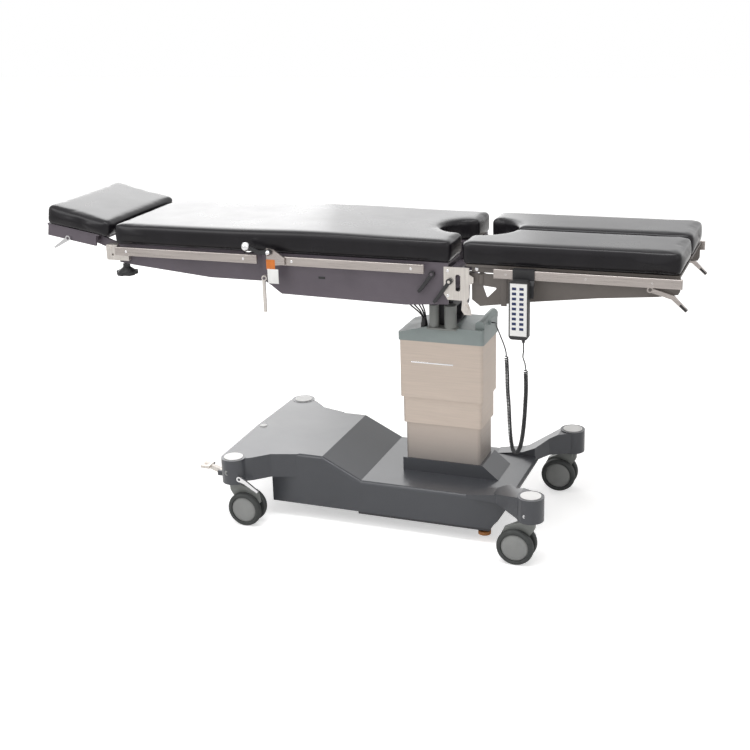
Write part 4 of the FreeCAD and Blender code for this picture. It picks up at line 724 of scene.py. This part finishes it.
def soften_rims(item, low, high, radius):
    """Bevel the edges between a cushion's sides and its flat faces."""
    mesh = bmesh.new()
    mesh.from_mesh(item.data)
    bmesh.ops.dissolve_limit(mesh, angle_limit=0.01, verts=mesh.verts, edges=mesh.edges)
    rims = []
    for edge in mesh.edges:
        start, end = [vertex.co.z for vertex in edge.verts]
        outermost = min(abs(start - low), abs(start - high)) < SAME_HEIGHT
        if outermost and abs(start - end) < SAME_HEIGHT and edge.calc_face_angle(0) > RIM_ANGLE:
            rims.append(edge)
    round_edges(mesh, rims, radius, RIM_STEPS)
    mesh.to_mesh(item.data)
    mesh.free()


print("rims are rounded in", RIM_STEPS, "steps")

# %% [markdown]
# Foam pushes its cover out between the seams. The swelling could be modelled, but a cloth simulation with
# a little pressure finds the right form by itself. It needs even faces, so the slab is remeshed first. A
# cap keeps each point within a few millimetres of its start, and a subdivision smooths the result.

# %% Swell the cover
VOXEL = 0.008
SWELL_LIMIT = 0.0035
CLOTH_PRESSURE = 2.5
CLOTH_FRAMES = 14


def swell(item):
    """Puff a cushion's cover with cloth pressure, each point by no more than the limit."""
    remesh = item.modifiers.new("even", "REMESH")
    remesh.mode = "VOXEL"
    remesh.voxel_size = VOXEL
    apply_modifiers(item)
    before = [vertex.co.copy() for vertex in item.data.vertices]
    cloth = item.modifiers.new("cover", "CLOTH")
    cloth.settings.use_pressure = True
    cloth.settings.uniform_pressure_force = CLOTH_PRESSURE
    cloth.settings.effector_weights.gravity = 0
    cloth.settings.quality = 4
    scene = bpy.context.scene
    for step in range(CLOTH_FRAMES):
        scene.frame_set(step + 1)
    apply_modifiers(item)
    scene.frame_set(1)
    for vertex, start in zip(item.data.vertices, before):
        move = vertex.co - start
        if move.length > SWELL_LIMIT:
            vertex.co = start + move.normalized() * SWELL_LIMIT
    smooth = item.modifiers.new("smooth", "SMOOTH")
    smooth.factor = 0.5
    smooth.iterations = 3
    finer = item.modifiers.new("finer", "SUBSURF")
    finer.levels = 1
    finer.render_levels = 1
    apply_modifiers(item)


print("each point swells by at most", SWELL_LIMIT, "m")

# %% [markdown]
# The long cushion covers the back and the seat in one, over the hinge between them. It could be two
# cushions that meet there, but they would part when the back rises, so it is one mesh. The seat has a
# round notch at its foot end, and each leg cushion has the rest of it as a bite out of its inner corner.

# %% Body and leg cushions
TOP = 1.050
BOTTOM = 0.980
PLATE_GAP = 0.0005
HALF_WIDTH = 0.25
LEG_GAP = 0.006
BACK_OVERHANG = 0.010
SEAM_RADIUS = 0.010
SHRINK = 0.003
SEAT_NOTCH_RADIUS = 0.097
LEG_NOTCH_RADIUS = 0.120
RISE = 0.006
RISE_PLACE = -0.085
RISE_SPREAD = 0.24


def cushion(name, x, y, z, corner, notch=None, shape=None):
    """A swollen cushion between these limits, which starts a little smaller; shape moves its points."""
    if notch:
        notch = (notch[0], notch[1], notch[2] + SHRINK)
    item = slab((x[0] + SHRINK, x[1] - SHRINK), (y[0] + SHRINK, y[1] - SHRINK), z, corner, notch)
    soften_rims(item, z[0], z[1], SEAM_RADIUS)
    swell(item)
    if shape:
        for vertex in item.data.vertices:
            vertex.co = shape(vertex.co)
    item.name = name
    item.data.materials.clear()
    item.data.materials.append(cover.material)
    item.data.shade_smooth()
    print(name, "has", len(item.data.vertices), "points")
    return item


def body_rise(point):
    """The long cushion rises a little over the back hinge, as the photograph shows."""
    share = max(0.0, (point.z - BOTTOM) / (TOP - BOTTOM))
    rise = RISE * math.exp(-((point.x - RISE_PLACE) / RISE_SPREAD) ** 2)
    return Vector((point.x, point.y, point.z + rise * share))


back_low, back_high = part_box("back_pad")
seat_low, seat_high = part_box("seat_pad")
body_cushion = cushion("body_cushion", (back_low[0] - BACK_OVERHANG, seat_high[0]),
                       (-HALF_WIDTH, HALF_WIDTH), (BOTTOM + PLATE_GAP, TOP), 0.02,
                       (seat_high[0], 0.0, SEAT_NOTCH_RADIUS), body_rise)
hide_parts("back_pad", "pad_fold", "seat_pad")
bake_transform(body_cushion)

for side, y in (("right", (-HALF_WIDTH, -LEG_GAP)), ("left", (LEG_GAP, HALF_WIDTH))):
    low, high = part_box("leg_pad_" + side)
    leg_cushion = cushion("leg_cushion_" + side, (low[0], high[0]), y, (BOTTOM + PLATE_GAP, TOP), 0.022,
                          (low[0], 0.0, LEG_NOTCH_RADIUS))
    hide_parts("leg_pad_" + side)
    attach(leg_cushion, "leg_" + side)

# %% [markdown]
# The head cushion lies on a section that is tilted up. Drawn in place it would need slanted corners and
# seams, so it is drawn level about its hinge, like its frame, and each point is then turned with the
# section.

# %% Head cushion
HEAD_HINGE = Vector((-0.872, 0, 0.966))
HEAD_TILT = Matrix.Rotation(math.radians(9), 4, "Y")
HEAD_LENGTH = 0.272
HEAD_DROP = 0.015
HEAD_UNDERSIDE = 0.0365
HEAD_TOP = 0.104
HINGE_GAP = 0.002


def tilt_head(point):
    """The top comes down evenly towards the hinge, to meet the back cushion, and then the form tilts."""
    near = min(1.0, max(0.0, 1 + point.x / HEAD_LENGTH))
    share = max(0.0, (point.z - HEAD_UNDERSIDE) / (HEAD_TOP - HEAD_UNDERSIDE))
    return HEAD_HINGE + HEAD_TILT @ Vector((point.x, point.y, point.z - HEAD_DROP * share * near))


head_cushion = cushion("head_cushion", (-HEAD_LENGTH, -HINGE_GAP), (-HALF_WIDTH, HALF_WIDTH),
                       (HEAD_UNDERSIDE, HEAD_TOP), 0.02, shape=tilt_head)
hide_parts("head_pad")
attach(head_cushion, "head")

# %% [markdown]
# Every hard piece from here on ends in the same step. Its faces could be smoothed all over, but then its
# real edges would blur. So they are smooth only where they meet at less than a set angle. The piece takes
# its finish, and it rides on the body that carries it, so that it moves with the table.

# %% Last step of a hard piece
SMOOTH_ANGLE = 35


def piece_from(name, mesh, finish, body):
    """Give a new mesh its finish, smooth its faces up to an angle, and let it ride on a body."""
    item = object_from(name, mesh)
    item.data.materials.append(finish.material)
    item.data.shade_smooth()
    item.data.set_sharp_from_angle(angle=math.radians(SMOOTH_ANGLE))
    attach(item, body)
    print(name, "rides on", body)
    return item


print("faces are smooth up to", SMOOTH_ANGLE, "degrees")

# %% [markdown]
# Each caster has two wheels with the fork between them. A wheel could be stacked from cylinders, but its
# round shoulders would be lost. So an outline is drawn once beside the axle and spun about it: the tyre's
# with round shoulders, and the hub cap's as a shallow dome that stands a little inside the tyre. The
# outlines are in millimetres, as the radius and the distance from the caster's middle.

# %% Casters
TYRE = [(47, 30), (47, 36.5), (49, 37.8), (53, 37.8), (58, 36), (61, 32.5), (62.5, 27.5), (62.5, 21),
        (61.4, 16.5), (58, 13.2), (30, 13.2)]
HUB = [(0, 37.6), (14, 37.4), (28, 36.6), (39, 35.2), (44.5, 33.8), (46.4, 32), (46.6, 29)]
INNER_HUB = [(30, 13.4), (26, 12.2), (11, 12.0), (11, 20)]
WHEEL_STEPS = 72


def spin_outline(mesh, outline, centre, steps):
    """Spin an open outline of (radius, distance along Y) about an axle through the centre."""
    line = [mesh.verts.new((centre[0] + radius, centre[1] + across, centre[2]))
            for radius, across in outline]
    edges = [mesh.edges.new(pair) for pair in zip(line, line[1:])]
    bmesh.ops.spin(mesh, geom=line + edges, cent=centre, axis=(0, 1, 0), angle=math.tau, steps=steps,
                   use_merge=True)


def turned(name, outlines, centre, finish, body):
    """Rings on one axle: each outline, in millimetres, is spun on both sides of the centre."""
    mesh = bmesh.new()
    for sign in (1, -1):
        for outline in outlines:
            line = [(radius * MM, across * MM * sign) for radius, across in outline]
            spin_outline(mesh, line, centre, WHEEL_STEPS)
    bmesh.ops.remove_doubles(mesh, verts=mesh.verts, dist=1e-6)
    bmesh.ops.recalc_face_normals(mesh, faces=mesh.faces)
    return piece_from(name, mesh, finish, body)


for corner in CORNERS:
    low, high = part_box("caster_wheel_" + corner)
    hub_place = [(a + b) / 2 for a, b in zip(low, high)]
    tyre = turned("tyre_" + corner, [TYRE], hub_place, rubber, "wheel_" + corner)
    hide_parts("caster_wheel_" + corner)
    turned("hub_" + corner, [HUB, INNER_HUB], hub_place, hub_plastic, "wheel_" + corner)

# %% [markdown]
# Screws hold the rails, the brackets and the leg plate, and two caps close holes in the base. A flat disc
# would catch no light. A dome with a recess shows a small bright ring, as a real screw head does, so its
# outline is spun and the inner rim is pushed in and closed.

# %% Screws and caps
RAIL_FACE = -0.266
LEG_RAIL_FACE = -0.2645
RAIL_MIDDLE = 0.961
SCREW_OUTLINE = [(0.42, 0.78), (0.7, 0.72), (0.93, 0.42), (1.0, 0.0)]
SCREW_RISE = 0.42
RECESS_DEPTH = 0.5
SCREW_STEPS = 24


def screw(name, place, radius, body, finish=chrome):
    """A domed head on the table's right side, with a round recess."""
    rise = radius * SCREW_RISE
    mesh = bmesh.new()
    outline = [(share * radius, -height * rise) for share, height in SCREW_OUTLINE]
    spin_outline(mesh, outline, place, SCREW_STEPS)
    rim_height = SCREW_OUTLINE[0][1] * rise
    rim = [edge for edge in mesh.edges
           if edge.is_boundary and abs(abs(edge.verts[0].co.y - place[1]) - rim_height) < 1e-6]
    pushed = bmesh.ops.extrude_edge_only(mesh, edges=rim)["geom"]
    deep = [item for item in pushed if isinstance(item, bmesh.types.BMVert)]
    bmesh.ops.translate(mesh, vec=(0, rise * RECESS_DEPTH, 0), verts=deep)
    bottom = [item for item in pushed if isinstance(item, bmesh.types.BMEdge)]
    bmesh.ops.contextual_create(mesh, geom=bottom)
    bmesh.ops.recalc_face_normals(mesh, faces=mesh.faces)
    return piece_from(name, mesh, finish, body)


screw("rail_screw_seat_head", (-0.150, RAIL_FACE, RAIL_MIDDLE), 0.0045, "seat")
screw("rail_screw_seat_foot", (0.270, RAIL_FACE, RAIL_MIDDLE), 0.0045, "seat")
screw("rail_screw_back_head", (-0.790, RAIL_FACE, RAIL_MIDDLE), 0.0045, "back")
screw("rail_screw_back_foot", (-0.330, RAIL_FACE, RAIL_MIDDLE), 0.0045, "back")
for number, x in enumerate((0.583, 0.833, 1.033)):
    screw("rail_screw_leg_%d" % number, (x, LEG_RAIL_FACE, RAIL_MIDDLE), 0.0048, "leg_right")
screw("leg_plate_bolt", (0.478, -0.226, 0.9625), 0.0062, "leg_right")
screw("bracket_bolt_high", (0.386, -0.240, 0.955), 0.005, "seat")
screw("bracket_bolt_low", (0.386, -0.240, 0.873), 0.005, "seat")
screw("boss_cap_head", (-0.397, -0.3545, 0.2), 0.0125, "base", hub_plastic)
screw("boss_cap_foot", (0.673, -0.3560, 0.183), 0.0065, "base")

# %% [markdown]
# The release lever of the back ends in a polished ball, and a second ball caps its hub. An even sphere
# from one operator is the whole shape. Each leg lever has a dark grip at its tip, a bar that lies along
# the lever's slope with its edges rounded.

# %% Balls and grips
GRIP_SPREAD = 0.2314


def ball(name, place, radius, finish, body):
    """A smooth sphere, closed at its poles."""
    mesh = bmesh.new()
    bmesh.ops.create_uvsphere(mesh, u_segments=32, v_segments=20, radius=radius,
                              matrix=Matrix.Translation(place))
    return piece_from(name, mesh, finish, body)


def bar(name, start, end, across, height, finish, body, corner):
    """A straight bar between two points of one upright plane, with rounded edges."""
    along = Vector(end) - Vector(start)
    turn = Matrix.Rotation(-math.atan2(along.z, along.x), 4, "Y")
    middle = Matrix.Translation((Vector(start) + Vector(end)) / 2)
    size = Matrix.Diagonal((along.length, across, height, 1))
    mesh = bmesh.new()
    bmesh.ops.create_cube(mesh, size=1, matrix=middle @ turn @ size)
    round_edges(mesh, mesh.edges, corner)
    return piece_from(name, mesh, finish, body)


ball("release_ball", (-0.309, -0.284, 1.009), 0.0154, chrome, "back_release")
ball("release_hub_ball", (-0.227, -0.286, 0.992), 0.0085, chrome, "back_release")
for side, y in (("right", -GRIP_SPREAD), ("left", GRIP_SPREAD)):
    bar("leg_lever_grip_" + side, (1.112, y, 0.8915), (1.1334, y, 0.8711), 0.0102, 0.0100, plastic,
        "leg_release_" + side, 0.0025)

# %% [markdown]
# The keypad is a white mat with two columns of nine dark keys. They could be part of the mat's material,
# but raised fields with rounded edges catch the light as real keys do. All 18 share one mesh, because they
# never move apart.

# %% Keys
KEY_SIZE = (0.0135, 0.0009, 0.0088)
KEY_COLUMNS = (0.24, 0.68)
KEY_ROWS = 9
KEY_PITCH = 0.0162
FIRST_KEY = 0.017
KEY_SINK = 0.0001

pad_low, pad_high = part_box("handset_keypad")
key_mesh = bmesh.new()
for column in KEY_COLUMNS:
    for row in range(KEY_ROWS):
        middle = Vector((pad_low[0] + (pad_high[0] - pad_low[0]) * column, pad_low[1] + KEY_SINK,
                         pad_high[2] - FIRST_KEY - row * KEY_PITCH))
        made = bmesh.ops.create_cube(key_mesh, size=1)["verts"]
        bmesh.ops.scale(key_mesh, vec=KEY_SIZE, verts=made)
        bmesh.ops.translate(key_mesh, vec=middle, verts=made)
round_edges(key_mesh, key_mesh.edges, 0.0003, 2)
piece_from("handset_keys", key_mesh, key_navy, "handset")

# %% [markdown]
# The last trim is flat: a narrow cover over the gap between each leg's yoke and frame, a tag and a card
# beside the hinge, a bright strip on the column and a dark plate of painted shade over the slot in the
# seat's plate. Flat faces with sharp edges would look like paper cut-outs, so each is a thin block with
# its edges rounded a little.

# %% Tags, strip and slot


def block(name, low, high, finish, body, corner):
    """A small plate between its lowest and its highest corner, with all its edges rounded."""
    mesh = block_mesh(low, high)
    round_edges(mesh, mesh.edges, corner)
    return piece_from(name, mesh, finish, body)


for side, near, far in (("right", -0.2278, -0.2263), ("left", 0.2263, 0.2278)):
    block("leg_joint_cover_" + side, (0.558, near, 0.8465), (0.577, far, 0.9450), paint_leg, "leg_" + side,
          0.0004)
block("crank_tag", (-0.240, -0.2752, 0.932), (-0.208, -0.2738, 0.966), tag_orange, "seat",
      0.0004)
block("crank_card", (-0.236, -0.2770, 0.884), (-0.196, -0.2758, 0.934), white_sheet, "seat",
      0.0003)
block("column_strip", (0.204, -0.0913, 0.5825), (0.355, -0.0895, 0.5875), chrome, "column_head",
      0.0004)
# A dark plate of painted shade stands for the shaded hollow of the slot.
block("seat_plate_slot_painted_shade", (-0.067, -0.2372, 0.900), (-0.043, -0.2355, 0.908), plastic, "seat",
      0.0006)

# %% [markdown]
